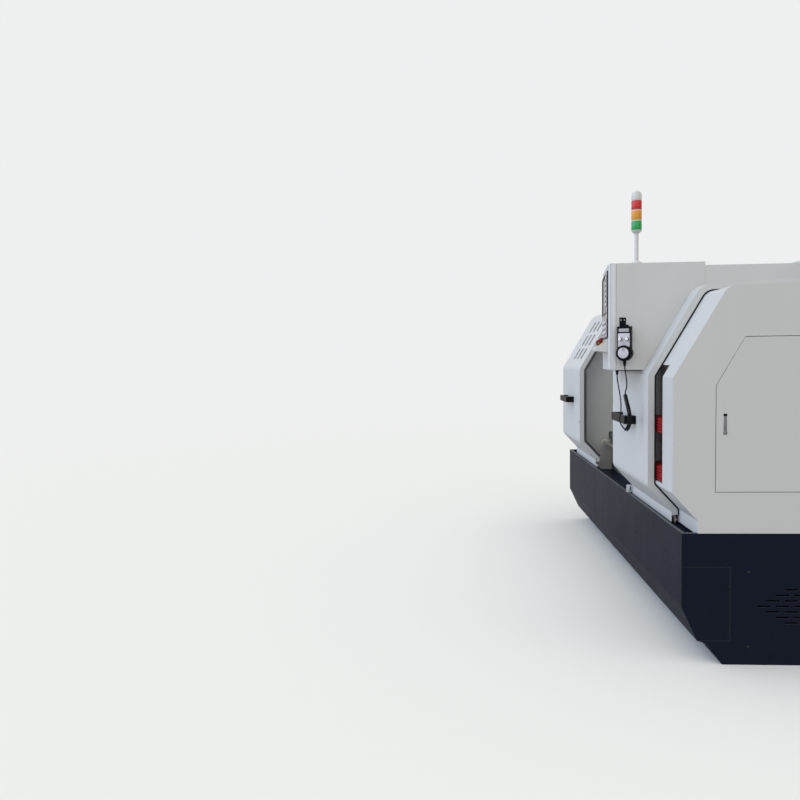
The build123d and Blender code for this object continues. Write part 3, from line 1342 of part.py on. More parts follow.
# Electrical cabinet and coolant tank
def cabinet_hinge_levels():
    """Gives where the fixed barrel of each hinge of the cabinet's door starts."""
    return [REAR_TOP + CABINET_HINGE_LOW + number * CABINET_HINGE_PITCH for number in range(CABINET_HINGES)]


def cabinet():
    """Gives the cabinet as an open box with the cooler's opening and fixed hinge barrels."""
    front = behind(BASE_DEPTH)
    back = behind(CABINET_BACK)
    body = block(CABINET_LEFT, CABINET_RIGHT, front, back, REAR_TOP, CABINET_TOP)
    body -= block(CABINET_LEFT + SHEET, CABINET_RIGHT - SHEET, front + SHEET, back + 1, REAR_TOP + SHEET,
                  CABINET_TOP - SHEET)
    inset = CABINET_PLATE_INSET
    body += block(CABINET_LEFT + inset, CABINET_RIGHT - inset, front + SHEET, front + CABINET_PLATE,
                  REAR_TOP + inset, CABINET_TOP - inset)
    body -= cooler_block(CABINET_RIGHT - SHEET - 1, CABINET_RIGHT + 1, 0)
    x = CABINET_LEFT - CABINET_HINGE_X
    for low in cabinet_hinge_levels():
        body += rod_z(x, back, low, low + KNUCKLE, HINGE_R)
        body += block(x, CABINET_LEFT, back - HINGE_R, back - 1, low, low + KNUCKLE)
        body += rod_z(x, back, low, low + KNUCKLE * 2, HINGE_PIN_R)
    return body


def cabinet_door():
    """Gives the cabinet's tray-shaped door with its hinge barrels and the seat of the switch."""
    back = behind(CABINET_BACK)
    y0 = back + CABINET_DOOR_GAP
    y1 = y0 + CABINET_DOOR
    foot = REAR_TOP + 4
    body = block(CABINET_LEFT, CABINET_RIGHT, y0, y1, foot, CABINET_TOP)
    body -= block(CABINET_LEFT + SHEET, CABINET_RIGHT - SHEET, y0 - 1, y1 - SHEET, foot + SHEET,
                  CABINET_TOP - SHEET)
    hinge_x = CABINET_LEFT - CABINET_HINGE_X
    for level in cabinet_hinge_levels():
        low = level + KNUCKLE + 0.5
        high = low + KNUCKLE - 1
        body += rod_z(hinge_x, back, low, high, HINGE_R)
        body += block(hinge_x, CABINET_LEFT + 1, y0, y0 + HINGE_R - 1, low, high)
        body -= rod_z(hinge_x, back, low - 1, high + 1, HINGE_PIN_R + RUNNING)
    x = CABINET_RIGHT - SWITCH_IN
    half = SWITCH_PLATE / 2
    body += block(x - half, x + half, y1 - SHEET - 12, y1 - 1, SWITCH_Z - half, SWITCH_Z + half)
    return body - rod_y(x, y0, y1 + 1, SWITCH_Z, BUTTON_STEM_R + RUNNING)


def main_switch():
    """Gives the rotary main switch on the cabinet door."""
    y0 = behind(REAR_DEPTH)
    x = CABINET_RIGHT - SWITCH_IN
    body = rod_y(x, y0 - 12, y0 + 10, SWITCH_Z, BUTTON_STEM_R)
    body += rod_y(x, y0 + TOUCH, y0 + 18, SWITCH_Z, SWITCH_R)
    rise = SWITCH_R - 4
    return body + block(x - 8, x + 8, y0 + 16, y0 + SWITCH_PROUD, SWITCH_Z - rise, SWITCH_Z + rise)


def cooler_block(x0, x1, growth):
    """Gives the outline of the cooler as a block along X, grown by an edge."""
    front = behind(COOLER_IN)
    return block(x0, x1, front - growth, front + COOLER_WIDTH + growth, COOLER_LOW - growth,
                 COOLER_LOW + COOLER_HEIGHT + growth)


def heat_exchanger():
    """Gives the cooler in the cabinet's right end: a body, a flange outside and its air slots."""
    body = cooler_block(CABINET_RIGHT - COOLER_DEPTH, CABINET_RIGHT, -TOUCH)
    body += cooler_block(CABINET_RIGHT, RIGHT, COOLER_FLANGE)
    pitch = COOLER_HEIGHT / COOLER_SLOTS
    for number in range(COOLER_SLOTS):
        low = COOLER_LOW + pitch * (number + 0.25)
        body -= block(RIGHT - COOLER_SLOT_DEPTH, RIGHT + 1, behind(COOLER_IN) + 15,
                      behind(COOLER_IN) + COOLER_WIDTH - 15, low, low + pitch / 2)
    return body


def coolant_tank():
    """Gives the coolant tank with its pump, slid in from the back."""
    y0 = behind(BASE_DEPTH + TANK_CLEAR + 4)
    y1 = behind(REAR_DEPTH - 6)
    x0 = TANK_X - TANK_LENGTH / 2
    x1 = TANK_X + TANK_LENGTH / 2
    top = TANK_LIFT + TANK_HEIGHT
    body = block(x0, x1, y0, y1, TANK_LIFT, top)
    wall = TANK_WALL
    body -= block(x0 + TANK_DECK, x1 - wall, y0 + wall, y1 - wall, TANK_LIFT + wall, top + 1)
    x = x0 + PUMP_X
    y = (y0 + y1) / 2
    body += rod_z(x, y, top, top + 10, PUMP_R + 18)
    return body + rod_z(x, y, top + 10, top + PUMP_HEIGHT, PUMP_R)


def parts():
    """Gives every piece by its node name."""
    pieces = {
        "base_frame": base_frame(),
        "corner_panel": corner_panel(),
        "left_cover": left_cover(),
        "right_cover": right_cover(),
        "rear_guard": rear_guard(),
        "stop_buffers": stop_buffers(),
        "access_door": access_door(),
        "bed": bed(),
        "headstock": headstock(),
        "spindle": spindle(),
        "chuck_body": chuck_body(),
        "motor_pulley": motor_pulley(),
        "spindle_motor": spindle_motor(),
        "drive_belt": drive_belt(),
        "z_servo_motor": z_servo_motor(),
        "z_screw": z_screw(),
        "saddle": saddle(),
        "x_servo_motor": x_servo_motor(),
        "x_screw": x_screw(),
        "cross_slide": cross_slide(),
        "tool_base": tool_base(),
        "tool_head": tool_head(),
        "tailstock_body": tailstock_body(),
        "quill": quill(),
        "handwheel": handwheel(),
        "clamp_lever": clamp_lever(),
        "left_door": left_door(),
        "left_door_window": left_door_window(),
        "left_handle": door_handle(LEFT_DOOR_EDGE - LEFT_HANDLE_END),
        "right_door": right_door(),
        "right_handle": door_handle(RIGHT_DOOR_EDGE + DOOR_LENGTH_RIGHT - RIGHT_HANDLE_END),
        "console_box": console_box(),
        "control_unit": control_unit(),
        "screen_glass": screen_glass(),
        "emergency_stop": emergency_stop(),
        "start_button": on_shelf(START_U) * push_button(),
        "hold_button": on_shelf(HOLD_U) * push_button(),
        "feed_knob": feed_knob(),
        "pendant_hook": pendant_hook(),
        "pendant_body": pendant_body(),
        "pendant_dial": pendant_dial(),
        "pendant_axis_knob": pendant_knob(-1),
        "pendant_step_knob": pendant_knob(1),
        "cord_down": cord_tube(CORD_DOWN, CORD_R, "cord_down"),
        "cord_coil": cord_tube(CORD_COIL, COIL_R, "cord_coil"),
        "cord_up": cord_tube(CORD_UP, CORD_R, "cord_up"),
        "cord_gland": cord_gland(),
        "lamp_tower": lamp_tower(),
        "cabinet": cabinet(),
        "cabinet_door": cabinet_door(),
        "main_switch": main_switch(),
        "heat_exchanger": heat_exchanger(),
        "coolant_tank": coolant_tank(),
    }
    for number, turn in enumerate((0, 120, 240), start=1):
        pieces[f"chuck_jaw_{number}"] = chuck_jaw(turn)
    for number, x in enumerate(LEFT_ROLLERS, start=1):
        pieces[f"left_roller_{number}"] = roller(x, LEFT_TRACK_IN)
    for number, x in enumerate(RIGHT_ROLLERS, start=1):
        pieces[f"right_roller_{number}"] = roller(x, RIGHT_TRACK_IN)
    return pieces


def main():
    os.makedirs("parts", exist_ok=True)
    for name, piece in parts().items():
        solids = piece if isinstance(piece, list) else piece.solids()
        shape = solids[0] if len(solids) == 1 else Compound(children=list(solids))
        export_step(shape, f"parts/{name}.step")


main()
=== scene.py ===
# %% [markdown]
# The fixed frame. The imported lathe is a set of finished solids, one for each piece of the machine,
# and each of them rides on a body that can move. Loading it first means that every later piece is
# placed by the solids and needs no fitting.

# %% Load the frame
import json
from itertools import product
from math import atan2, cos, hypot, pi, radians, sin, tan

import bpy
from mathutils import Matrix, Vector


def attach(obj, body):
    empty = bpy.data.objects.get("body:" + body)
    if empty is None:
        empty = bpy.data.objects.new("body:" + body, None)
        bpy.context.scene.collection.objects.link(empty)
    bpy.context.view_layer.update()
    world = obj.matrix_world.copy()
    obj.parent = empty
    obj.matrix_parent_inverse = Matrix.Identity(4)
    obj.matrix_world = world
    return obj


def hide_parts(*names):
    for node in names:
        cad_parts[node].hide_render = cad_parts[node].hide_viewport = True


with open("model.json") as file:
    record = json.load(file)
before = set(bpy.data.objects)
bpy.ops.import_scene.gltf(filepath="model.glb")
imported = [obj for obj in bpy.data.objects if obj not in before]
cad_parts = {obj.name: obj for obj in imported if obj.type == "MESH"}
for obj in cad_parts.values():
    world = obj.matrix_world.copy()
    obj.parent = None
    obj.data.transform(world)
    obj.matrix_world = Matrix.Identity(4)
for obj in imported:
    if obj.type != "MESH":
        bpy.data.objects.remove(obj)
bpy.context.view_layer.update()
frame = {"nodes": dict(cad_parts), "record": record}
nodes = frame["nodes"]
bpy.ops.object.select_all(action="DESELECT")

# %% [markdown]
# The camera.
# The view looks along the machine from the tailstock end, a little over the control box. Three
# small turns describe it: yaw about the vertical, pitch downwards and roll about the line of
# sight. A matrix built from the three axes of the camera is exact, where a track-to constraint
# would lose the roll.

# %% Camera
CAMERA_PLACE = Vector((5.1588, -1.4646, 1.4179))
CAMERA_YAW = -0.06368
CAMERA_PITCH = 0.05368
CAMERA_ROLL = -0.01343
CAMERA_FOCAL = 770
IMAGE_WIDTH = 800
SENSOR_WIDTH = 36


def camera_matrix():
    """Gives the camera's place from its yaw, pitch and roll."""
    ahead = Vector((-cos(CAMERA_YAW) * cos(CAMERA_PITCH), sin(CAMERA_YAW) * cos(CAMERA_PITCH),
                    -sin(CAMERA_PITCH)))
    side = ahead.cross(Vector((0, 0, 1))).normalized()
    above = side.cross(ahead)
    right = side * cos(CAMERA_ROLL) + above * sin(CAMERA_ROLL)
    top = above * cos(CAMERA_ROLL) - side * sin(CAMERA_ROLL)
    turn = Matrix((right, top, -ahead)).transposed()
    return Matrix.Translation(CAMERA_PLACE) @ turn.to_4x4()


bpy.ops.object.camera_add()
camera = bpy.context.object
camera.name = "camera"
camera.matrix_world = camera_matrix()
camera.data.sensor_width = SENSOR_WIDTH
camera.data.lens = SENSOR_WIDTH * CAMERA_FOCAL / IMAGE_WIDTH
camera.data.clip_end = 200
bpy.context.scene.camera = camera
bpy.context.scene.view_settings.view_transform = "Standard"
print("camera lens", round(camera.data.lens, 2), "mm")

# %% [markdown]
# The driving sizes.
# The folded guards all follow one bent section. Its corners are written once, behind the front of
# the base, and the seals read them from here. Everything is in metres.

# %% Section of the guards
FRONT = -0.415
SECTION = ((0.072, 0.606), (0.072, 0.664), (-0.042, 0.789), (-0.042, 1.315), (0.198, 1.723), (0.700, 1.740))
SECTION_RADII = (0.012, 0.012, 0.012, 0.060)
SMALLEST_RADIUS = 0.004
CORNER_STEPS = 6
DOOR_FLANGE_INNER = 0.008


def behind(distance):
    """Gives the y of a plane that lies this far behind the base front."""
    return FRONT + distance


def spot(x, distance, z):
    """Gives a point by its x, its distance behind the base front and its height."""
    return Vector((x, behind(distance), z))


def offset_corners(points, out):
    """Moves a chain of corners outwards by a distance, keeping each run parallel."""
    moved = []
    for i, point in enumerate(points):
        runs = []
        if i > 0:
            runs.append((point - points[i - 1]).normalized())
        if i < len(points) - 1:
            runs.append((points[i + 1] - point).normalized())
        normals = [Vector((-run.y, run.x)) for run in runs]
        middle = sum(normals, Vector((0, 0))).normalized()
        moved.append(point + middle * out / middle.dot(normals[0]))
    return moved


def guard_path(out):
    """Gives the guards' section line this far outside the covers, with its rounded corners."""
    corners = offset_corners([Vector(p) for p in SECTION], out)
    path = [corners[0]]
    for before, here, after, radius in zip(corners, corners[1:], corners[2:], SECTION_RADII):
        enter = (before - here).normalized()
        leave = (after - here).normalized()
        turn = enter.angle(leave)
        outside = (here - before).cross(after - here) < 0
        round_radius = radius + out if outside else max(radius - out, SMALLEST_RADIUS)
        reach = round_radius / tan(turn / 2)
        for step in range(CORNER_STEPS + 1):
            share = step / CORNER_STEPS
            a = here + enter * reach * (1 - share)
            b = here + leave * reach * share
            path.append(a.lerp(b, share))
    path.append(corners[-1])
    return [spot(0, p.x, p.y) for p in path]


print("guard section has", len(guard_path(0)), "points")

# %% [markdown]
# Node helpers.
# The world, the floor and every finish are small node trees. Two helpers keep them short: one adds a
# node with its settings and inputs, the other does sums. An input is a number, a colour or the
# socket of another node, which is then linked.

# %% Helpers for node trees
def set_inputs(tree, node, values):
    """Sets a node's inputs, and links those that are given as a socket."""
    for key, value in values.items():
        if isinstance(value, bpy.types.NodeSocket):
            tree.links.new(value, node.inputs[key])
        else:
            node.inputs[key].default_value = value


def add_node(tree, kind, inputs=None, **settings):
    """Adds a shader node with its settings and inputs."""
    node = tree.nodes.new("ShaderNode" + kind)
    for key, value in settings.items():
        setattr(node, key, value)
    set_inputs(tree, node, inputs or {})
    return node


def sums(tree, operation, *values, clamp=False):
    """Adds a math node and gives its result."""
    return add_node(tree, "Math", dict(enumerate(values)), operation=operation, use_clamp=clamp).outputs[0]


def mix_colors(tree, share, first, second):
    """Mixes two colours by a mask."""
    return add_node(tree, "Mix", {0: share, 6: first, 7: second}, data_type="RGBA").outputs[2]


def mix_shaders(tree, share, first, second):
    """Mixes two shaders by a mask."""
    return add_node(tree, "MixShader", {0: share, 1: first.outputs[0], 2: second.outputs[0]}).outputs[0]


def object_place(tree):
    """Gives the place on the piece itself, so that a texture moves with its piece."""
    return add_node(tree, "TexCoord").outputs["Object"]


def noise(tree, scale, detail, vector=None):
    """Adds a noise texture on Object coordinates."""
    values = {"Scale": scale, "Detail": detail, "Vector": vector or object_place(tree)}
    return add_node(tree, "TexNoise", values).outputs["Fac"]


print("node helpers are ready")

# %% [markdown]
# Light and floor.
# The hall has cool daylight from windows across the aisle and warmer light from its roof. A wide,
# low sun with a cool colour, two weaker warm ones and a pale world give that. A sun lights the whole
# floor evenly, where a lamp close by would leave a bright pool. The floor looks as pale as the
# backdrop to the camera, and is darker in the light it throws back, as a real shop floor is. Far
# from the machine it fades into the backdrop, so that no horizon shows.

# %% World, lamps and floor
WORLD_COLOR = (1.0, 0.99, 0.965, 1)
WORLD_STRENGTH = 0.62
BACKDROP_COLOR = (0.86, 0.865, 0.87, 1)
FLOOR_SIZE = 240
FLOOR_SEEN = (0.76, 0.755, 0.735, 1)
FLOOR_THROWN = (0.42, 0.41, 0.40, 1)
FADE_START, FADE_END = 4.5, 20.0
SUNS = {
    "aisle_windows": ((0.10, -0.92, 0.38), 70, 2.2, (0.58, 0.74, 1.0)),
    "roof_lights": ((0.05, -0.15, 1.0), 90, 0.80, (1.0, 0.96, 0.80)),
    "end_daylight": ((0.92, -0.10, 0.38), 70, 0.76, (1.0, 0.98, 0.92)),
}


def make_world():
    """Gives a soft world that shows as a plain pale backdrop to the camera and behind glass."""
    world = bpy.data.worlds.new("hall")
    world.use_nodes = True
    bpy.context.scene.world = world
    tree = world.node_tree
    light = tree.nodes["Background"]
    set_inputs(tree, light, {"Color": WORLD_COLOR, "Strength": WORLD_STRENGTH})
    plain = add_node(tree, "Background", {"Color": BACKDROP_COLOR, "Strength": 1})
    rays = add_node(tree, "LightPath").outputs
    seen = sums(tree, "MAXIMUM", rays["Is Camera Ray"], rays["Is Transmission Ray"])
    set_inputs(tree, tree.nodes["World Output"], {"Surface": mix_shaders(tree, seen, light, plain)})


def wide_sun(name, towards, width, power, color):
    """Adds a sun as broad as a bank of windows, that shines from a direction."""
    bpy.ops.object.light_add(type="SUN", location=(0, 0, 4))
    lamp = bpy.context.object
    lamp.name = name
    lamp.data.angle = radians(width)
    lamp.data.energy = power
    lamp.data.color = color
    lamp.rotation_euler = Vector(towards).to_track_quat("Z", "Y").to_euler()


def make_floor():
    """Lays the floor, which is pale to the camera and darker in the light that it throws back."""
    bpy.ops.mesh.primitive_plane_add(size=FLOOR_SIZE, location=(0, 0, 0))
    floor = bpy.context.object
    floor.name = "floor"
    paint = bpy.data.materials.new("floor_paint")
    paint.use_nodes = True
    tree = paint.node_tree
    shader = tree.nodes["Principled BSDF"]
    camera_ray = add_node(tree, "LightPath").outputs["Is Camera Ray"]
    set_inputs(tree, shader, {"Base Color": mix_colors(tree, camera_ray, FLOOR_THROWN, FLOOR_SEEN),
                              "Roughness": 0.9, "Specular IOR Level": 0.1})
    reach = add_node(tree, "VectorMath", {0: object_place(tree)}, operation="LENGTH").outputs["Value"]
    fade = add_node(tree, "MapRange", {"Value": reach, "From Min": FADE_START, "From Max": FADE_END},
                    interpolation_type="SMOOTHSTEP").outputs["Result"]
    plain = add_node(tree, "Emission", {"Color": BACKDROP_COLOR})
    sweep = mix_shaders(tree, sums(tree, "MULTIPLY", fade, camera_ray), shader, plain)
    set_inputs(tree, tree.nodes["Material Output"], {"Surface": sweep})
    floor.data.materials.append(paint)


make_world()
for sun, row in SUNS.items():
    wide_sun(sun, *row)
make_floor()
print("lamps:", ", ".join(SUNS))

# %% [markdown]
# Shared effects.
# Paint on a machine is never one flat colour: a powder coat has a fine orange peel, it is a little
# uneven from spray to spray, dust settles low down, and the folds catch the light. Each of these is
# a node group with its own inputs, so that every material can use it with its own strength. The
# groups put out colours, masks and normals only, and the shader stays in the material.

# %% Node groups
SOCKET_OF_LENGTH = {3: "NodeSocketVector", 4: "NodeSocketColor"}
SOCKET_OF_TYPE = {"RGBA": "NodeSocketColor", "VECTOR": "NodeSocketVector", "VALUE": "NodeSocketFloat"}


def new_group(name, **inputs):
    """Starts a node group with its inputs: numbers, vectors of three or colours of four."""
    group = bpy.data.node_groups.new(name, "ShaderNodeTree")
    for label, value in inputs.items():
        kind = SOCKET_OF_LENGTH[len(value)] if isinstance(value, tuple) else "NodeSocketFloat"
        group.interface.new_socket(name=label, in_out="INPUT", socket_type=kind).default_value = value
    return group, group.nodes.new("NodeGroupInput").outputs


def put_out(group, **results):
    """Ends a node group with its named results."""
    for label, socket in results.items():
        group.interface.new_socket(name=label, in_out="OUTPUT", socket_type=SOCKET_OF_TYPE[socket.type])
    set_inputs(group, group.nodes.new("NodeGroupOutput"), results)
    return group


def build_uneven_paint():
    """Group: a colour that drifts a little in broad clouds and thin vertical wipes."""
    group, start = new_group("uneven_paint", Color=(0.5, 0.5, 0.5, 1), Shade=(0.4, 0.4, 0.4, 1), Amount=0.3)
    cloud = noise(group, 1.7, 4)
    stretch = add_node(group, "Mapping", {"Vector": object_place(group), "Scale": (22, 22, 1.3)})
    wipe = noise(group, 1, 3, stretch.outputs["Vector"])
    both = sums(group, "ADD", cloud, sums(group, "MULTIPLY", wipe, 0.6))
    level = sums(group, "SUBTRACT", both, 0.55, clamp=True)
    share = sums(group, "MULTIPLY", level, start["Amount"], clamp=True)
    return put_out(group, Color=mix_colors(group, share, start["Color"], start["Shade"]), Cloud=level)


def build_fold_light():
    """Group: rounded normals over sharp folds, and a mask of those folds."""
    group, start = new_group("fold_light", Radius=0.002)
    normal = add_node(group, "Bevel", {"Radius": start["Radius"]}, samples=6).outputs["Normal"]
    sheet = add_node(group, "NewGeometry").outputs["True Normal"]
    dot = add_node(group, "VectorMath", {0: normal, 1: sheet}, operation="DOT_PRODUCT").outputs["Value"]
    edge = sums(group, "MULTIPLY", sums(group, "SUBTRACT", 1.0, dot), 4.0, clamp=True)
    return put_out(group, Normal=normal, Edge=edge)


def build_orange_peel():
    """Group: the height of a powder coat's fine skin."""
    group, start = new_group("orange_peel", Scale=420.0)
    return put_out(group, Height=noise(group, start["Scale"], 2))


def build_low_dust():
    """Group: a mask of dust that is densest near the floor and on ledges that face up."""
    group, start = new_group("low_dust", Reach=0.35)
    height = add_node(group, "SeparateXYZ", {0: object_place(group)}).outputs["Z"]
    low = sums(group, "SUBTRACT", 1.0, sums(group, "DIVIDE", height, start["Reach"]), clamp=True)
    normal = add_node(group, "NewGeometry").outputs["Normal"]
    upward = add_node(group, "SeparateXYZ", {0: normal}).outputs["Z"]
    ledge = sums(group, "MULTIPLY", sums(group, "SUBTRACT", upward, 0.6, clamp=True), 1.2)
    spread = sums(group, "ADD", sums(group, "MULTIPLY", low, 0.7), ledge)
    return put_out(group, Mask=sums(group, "MULTIPLY", spread, noise(group, 34, 5), clamp=True))


def build_long_grain():
    """Group: the fine lines of ground or turned steel along one axis."""
    group, start = new_group("long_grain", Stretch=(3.0, 400.0, 400.0))
    scale = add_node(group, "VectorMath", {0: object_place(group), 1: start["Stretch"]}, operation="MULTIPLY")
    return put_out(group, Value=noise(group, 1, 3, scale.outputs[0]))


uneven_paint = build_uneven_paint()
fold_light = build_fold_light()
orange_peel = build_orange_peel()
low_dust = build_low_dust()
long_grain = build_long_grain()
print("node groups:", [group.name for group in bpy.data.node_groups])

# %% [markdown]
# Finishes.
# The guards are a pale grey powder coat, the base a navy one. Castings are painted machine grey
# with a coarse skin, ways and slides are ground, and round parts are turned bright. Plastics have a
# moulded grain, and rubber is dull. Each finish is one short function call over the groups above.

# %% Material makers
DUST_COLOR = (0.33, 0.31, 0.28, 1)
SMALL_RADIUS = 0.0012
FINISHES = {}


def place_group(tree, group, **values):
    """Places a node group in a material with its own values and gives its results."""
    node = tree.nodes.new("ShaderNodeGroup")
    node.node_tree = group
    set_inputs(tree, node, values)
    return node.outputs


def start_material(name):
    """Starts a finish and keeps it under its name."""
    material = bpy.data.materials.new(name)
    material.use_nodes = True
    FINISHES[name] = material
    return material.node_tree, material.node_tree.nodes["Principled BSDF"]


def bumps(tree, strength, distance, height, normal):
    """Gives the normal of a fine relief over a rounded fold."""
    return add_node(tree, "Bump", {"Strength": strength, "Distance": distance, "Height": height,
                                   "Normal": normal}).outputs["Normal"]


def dimmed(color, share):
    """Gives a paler or darker colour with its alpha."""
    return (*[min(c * share, 1) for c in color], 1)


def painted(name, color, shade, roughness, peel=0.10, scale=420.0, edge_color=None, edge=0.0, dust=0.0,
            radius=0.0022, specular=0.5):
    """Gives a powder-coated finish with folds that catch the light, a lighter colour along the folds that is partly
    wear and partly a painted highlight, and dust low down.
    """
    tree, shader = start_material(name)
    paint = place_group(tree, uneven_paint, Color=(*color, 1), Shade=(*shade, 1), Amount=0.35)
    folds = place_group(tree, fold_light, Radius=radius)
    skin = place_group(tree, orange_peel, Scale=scale)
    current = paint["Color"]
    # The lighter colour along the folds is partly edge wear and partly a painted highlight.
    if edge:
        edge_wear_and_highlight = sums(tree, "MULTIPLY", folds["Edge"], edge, clamp=True)
        current = mix_colors(tree, edge_wear_and_highlight, current, (*edge_color, 1))
    if dust:
        film = sums(tree, "MULTIPLY", place_group(tree, low_dust)["Mask"], dust, clamp=True)
        current = mix_colors(tree, film, current, DUST_COLOR)
    sheen = sums(tree, "MULTIPLY_ADD", paint["Cloud"], 0.12, roughness - 0.03)
    normal = bumps(tree, peel, 0.0006, skin["Height"], folds["Normal"])
    set_inputs(tree, shader, {"Base Color": current, "Roughness": sheen, "Normal": normal,
                              "Specular IOR Level": specular})


def metal(name, color, roughness, stretch, grain=0.25):
    """Gives ground or turned metal with fine lines along one axis."""
    tree, shader = start_material(name)
    lines = place_group(tree, long_grain, Stretch=stretch)["Value"]
    folds = place_group(tree, fold_light, Radius=SMALL_RADIUS)
    rough = sums(tree, "MULTIPLY_ADD", lines, grain, roughness - grain / 2)
    normal = bumps(tree, 0.12, 0.0003, lines, folds["Normal"])
    base = mix_colors(tree, lines, dimmed(color, 0.86), (*color, 1))
    set_inputs(tree, shader, {"Base Color": base, "Roughness": rough, "Normal": normal, "Metallic": 1.0})


def moulded(name, color, roughness, grain=0.15, scale=900.0, specular=0.5):
    """Gives moulded plastic or rubber with a fine grain."""
    tree, shader = start_material(name)
    cloud = noise(tree, 9, 4)
    folds = place_group(tree, fold_light, Radius=SMALL_RADIUS)
    skin = place_group(tree, orange_peel, Scale=scale)
    base = mix_colors(tree, cloud, dimmed(color, 0.85), dimmed(color, 1.12))
    rough = sums(tree, "MULTIPLY_ADD", cloud, 0.14, roughness - 0.07)
    normal = bumps(tree, grain, 0.0003, skin["Height"], folds["Normal"])
    set_inputs(tree, shader, {"Base Color": base, "Roughness": rough, "Normal": normal,
                              "Specular IOR Level": specular})


def clear(name, color, roughness, transmission):
    """Gives a clear or tinted glass with faint wipe marks."""
    tree, shader = start_material(name)
    rough = sums(tree, "MULTIPLY_ADD", noise(tree, 6, 5), 0.1, roughness)
    set_inputs(tree, shader, {"Base Color": (*color, 1), "Roughness": rough, "IOR": 1.45,
                              "Transmission Weight": transmission})


print("makers:", ", ".join(maker.__name__ for maker in (painted, metal, moulded, clear)))

# %% Finishes of this machine
painted("white_coat", (0.525, 0.53, 0.53), (0.475, 0.48, 0.472), 0.42, edge_color=(0.64, 0.65, 0.65), edge=0.5,
        dust=0.05)
# The inside of the guards has its own pale paint, set paler still as a painted fill light for the shade inside.
painted("inner_coat_painted_fill", (0.74, 0.75, 0.735), (0.69, 0.70, 0.68), 0.45)
painted("trim_white", (0.60, 0.62, 0.65), (0.57, 0.59, 0.62), 0.35, peel=0.05)
# A lighter navy for the rim's top faces: a painted highlight where the rim catches the light.
painted("rim_highlight_navy", (0.075, 0.080, 0.092), (0.055, 0.060, 0.075), 0.40, edge_color=(0.20, 0.21, 0.23), edge=0.3,
        specular=0.3)
painted("navy_coat", (0.0040, 0.0068, 0.0175), (0.0062, 0.0090, 0.0200), 0.44, peel=0.14, scale=300.0,
        edge_color=(0.16, 0.17, 0.19), edge=0.35, dust=0.02, radius=0.003, specular=0.10)
painted("cast_grey", (0.17, 0.20, 0.21), (0.13, 0.155, 0.16), 0.5, peel=0.5, scale=140.0,
        edge_color=(0.3, 0.32, 0.33), edge=0.25)
painted("motor_black", (0.02, 0.021, 0.023), (0.03, 0.03, 0.032), 0.42, peel=0.2, scale=260.0,
        edge_color=(0.12, 0.12, 0.12), edge=0.3, specular=0.3)
metal("ground_steel", (0.56, 0.56, 0.57), 0.32, (3.0, 420.0, 420.0))
metal("turned_steel", (0.66, 0.66, 0.67), 0.2, (500.0, 6.0, 6.0), grain=0.2)
metal("bright_steel", (0.74, 0.74, 0.75), 0.16, (420.0, 420.0, 3.0), grain=0.12)
moulded("red_rubber", (0.24, 0.004, 0.006), 0.55, grain=0.25, scale=500.0, specular=0.2)
moulded("black_plastic", (0.0038, 0.0046, 0.0062), 0.34, specular=0.07)
moulded("grey_plastic", (0.32, 0.325, 0.33), 0.42)
moulded("pale_plastic", (0.55, 0.55, 0.54), 0.42)
moulded("red_plastic", (0.52, 0.012, 0.012), 0.22, grain=0.04)
moulded("green_plastic", (0.012, 0.30, 0.07), 0.22, grain=0.04)
moulded("amber_plastic", (0.62, 0.26, 0.01), 0.2, grain=0.04)
moulded("yellow_plastic", (0.52, 0.34, 0.03), 0.35, grain=0.05)
moulded("lilac_plastic", (0.50, 0.48, 0.52), 0.36, grain=0.05)
moulded("white_plastic", (0.80, 0.80, 0.81), 0.28, grain=0.04)
moulded("latch_grey", (0.17, 0.17, 0.185), 0.3, grain=0.08)
moulded("key_grey", (0.36, 0.33, 0.34), 0.4, grain=0.06)
moulded("screen_light", (0.10, 0.13, 0.17), 0.12, grain=0.0)
moulded("black_rubber", (0.008, 0.008, 0.009), 0.68, grain=0.4, scale=300.0, specular=0.15)
moulded("worn_rubber", (0.050, 0.054, 0.050), 0.6, grain=0.4, scale=300.0, specular=0.3)
# A darker copy of the red plastic for the emergency stop: a painted shade, as the stop sits in shadow.
moulded("shaded_stop_red", (0.20, 0.008, 0.012), 0.3, grain=0.04, specular=0.3)
moulded("dark_glass", (0.012, 0.016, 0.022), 0.1, grain=0.0)
clear("clear_pane", (0.30, 0.33, 0.31), 0.02, 0.85)

# Each finish is listed with the slot it belongs to, where that is not its own name. Only the main
# finishes' rows are read: a slot's solids wear the main finish listed for that slot or, where there
# is none, the finish of the slot's own name.
SLOT_OF_FINISH = {
    "white_coat": "white_sheet", "inner_coat_painted_fill": "inner_sheet", "navy_coat": "navy_sheet",
    "turned_steel": "bright_steel", "pale_plastic": "lamp_plastic", "trim_white": "white_sheet",
    "rim_highlight_navy": "navy_sheet", "yellow_plastic": "lamp_plastic", "lilac_plastic": "lamp_plastic",
    "white_plastic": "lamp_plastic", "amber_plastic": "red_plastic", "latch_grey": "grey_plastic",
    "key_grey": "grey_plastic", "screen_light": "dark_glass", "worn_rubber": "black_rubber",
}
MAIN_FINISHES = ("white_coat", "inner_coat_painted_fill", "navy_coat", "turned_steel", "pale_plastic")


def dress_nodes():
    """Gives every solid of the frame the finish of its slot."""
    finish_of_slot = {SLOT_OF_FINISH[name]: name for name in MAIN_FINISHES}
    for part in frame["record"]["subparts"]:
        slot = part["material_slot"]
        materials = nodes[part["node"]].data.materials
        materials.clear()
        materials.append(FINISHES[finish_of_slot.get(slot, slot)])


dress_nodes()

# %% [markdown]
# Bench tools.
# New pieces start as a primitive and are shaped in edit mode, as by hand. A few helpers save
# repetition: one adds a primitive alone on the bench, one bakes its place into the mesh, one rounds
# its edges, and one hands the finished piece to its body with its finish.

# %% Helpers for modelling
made = []


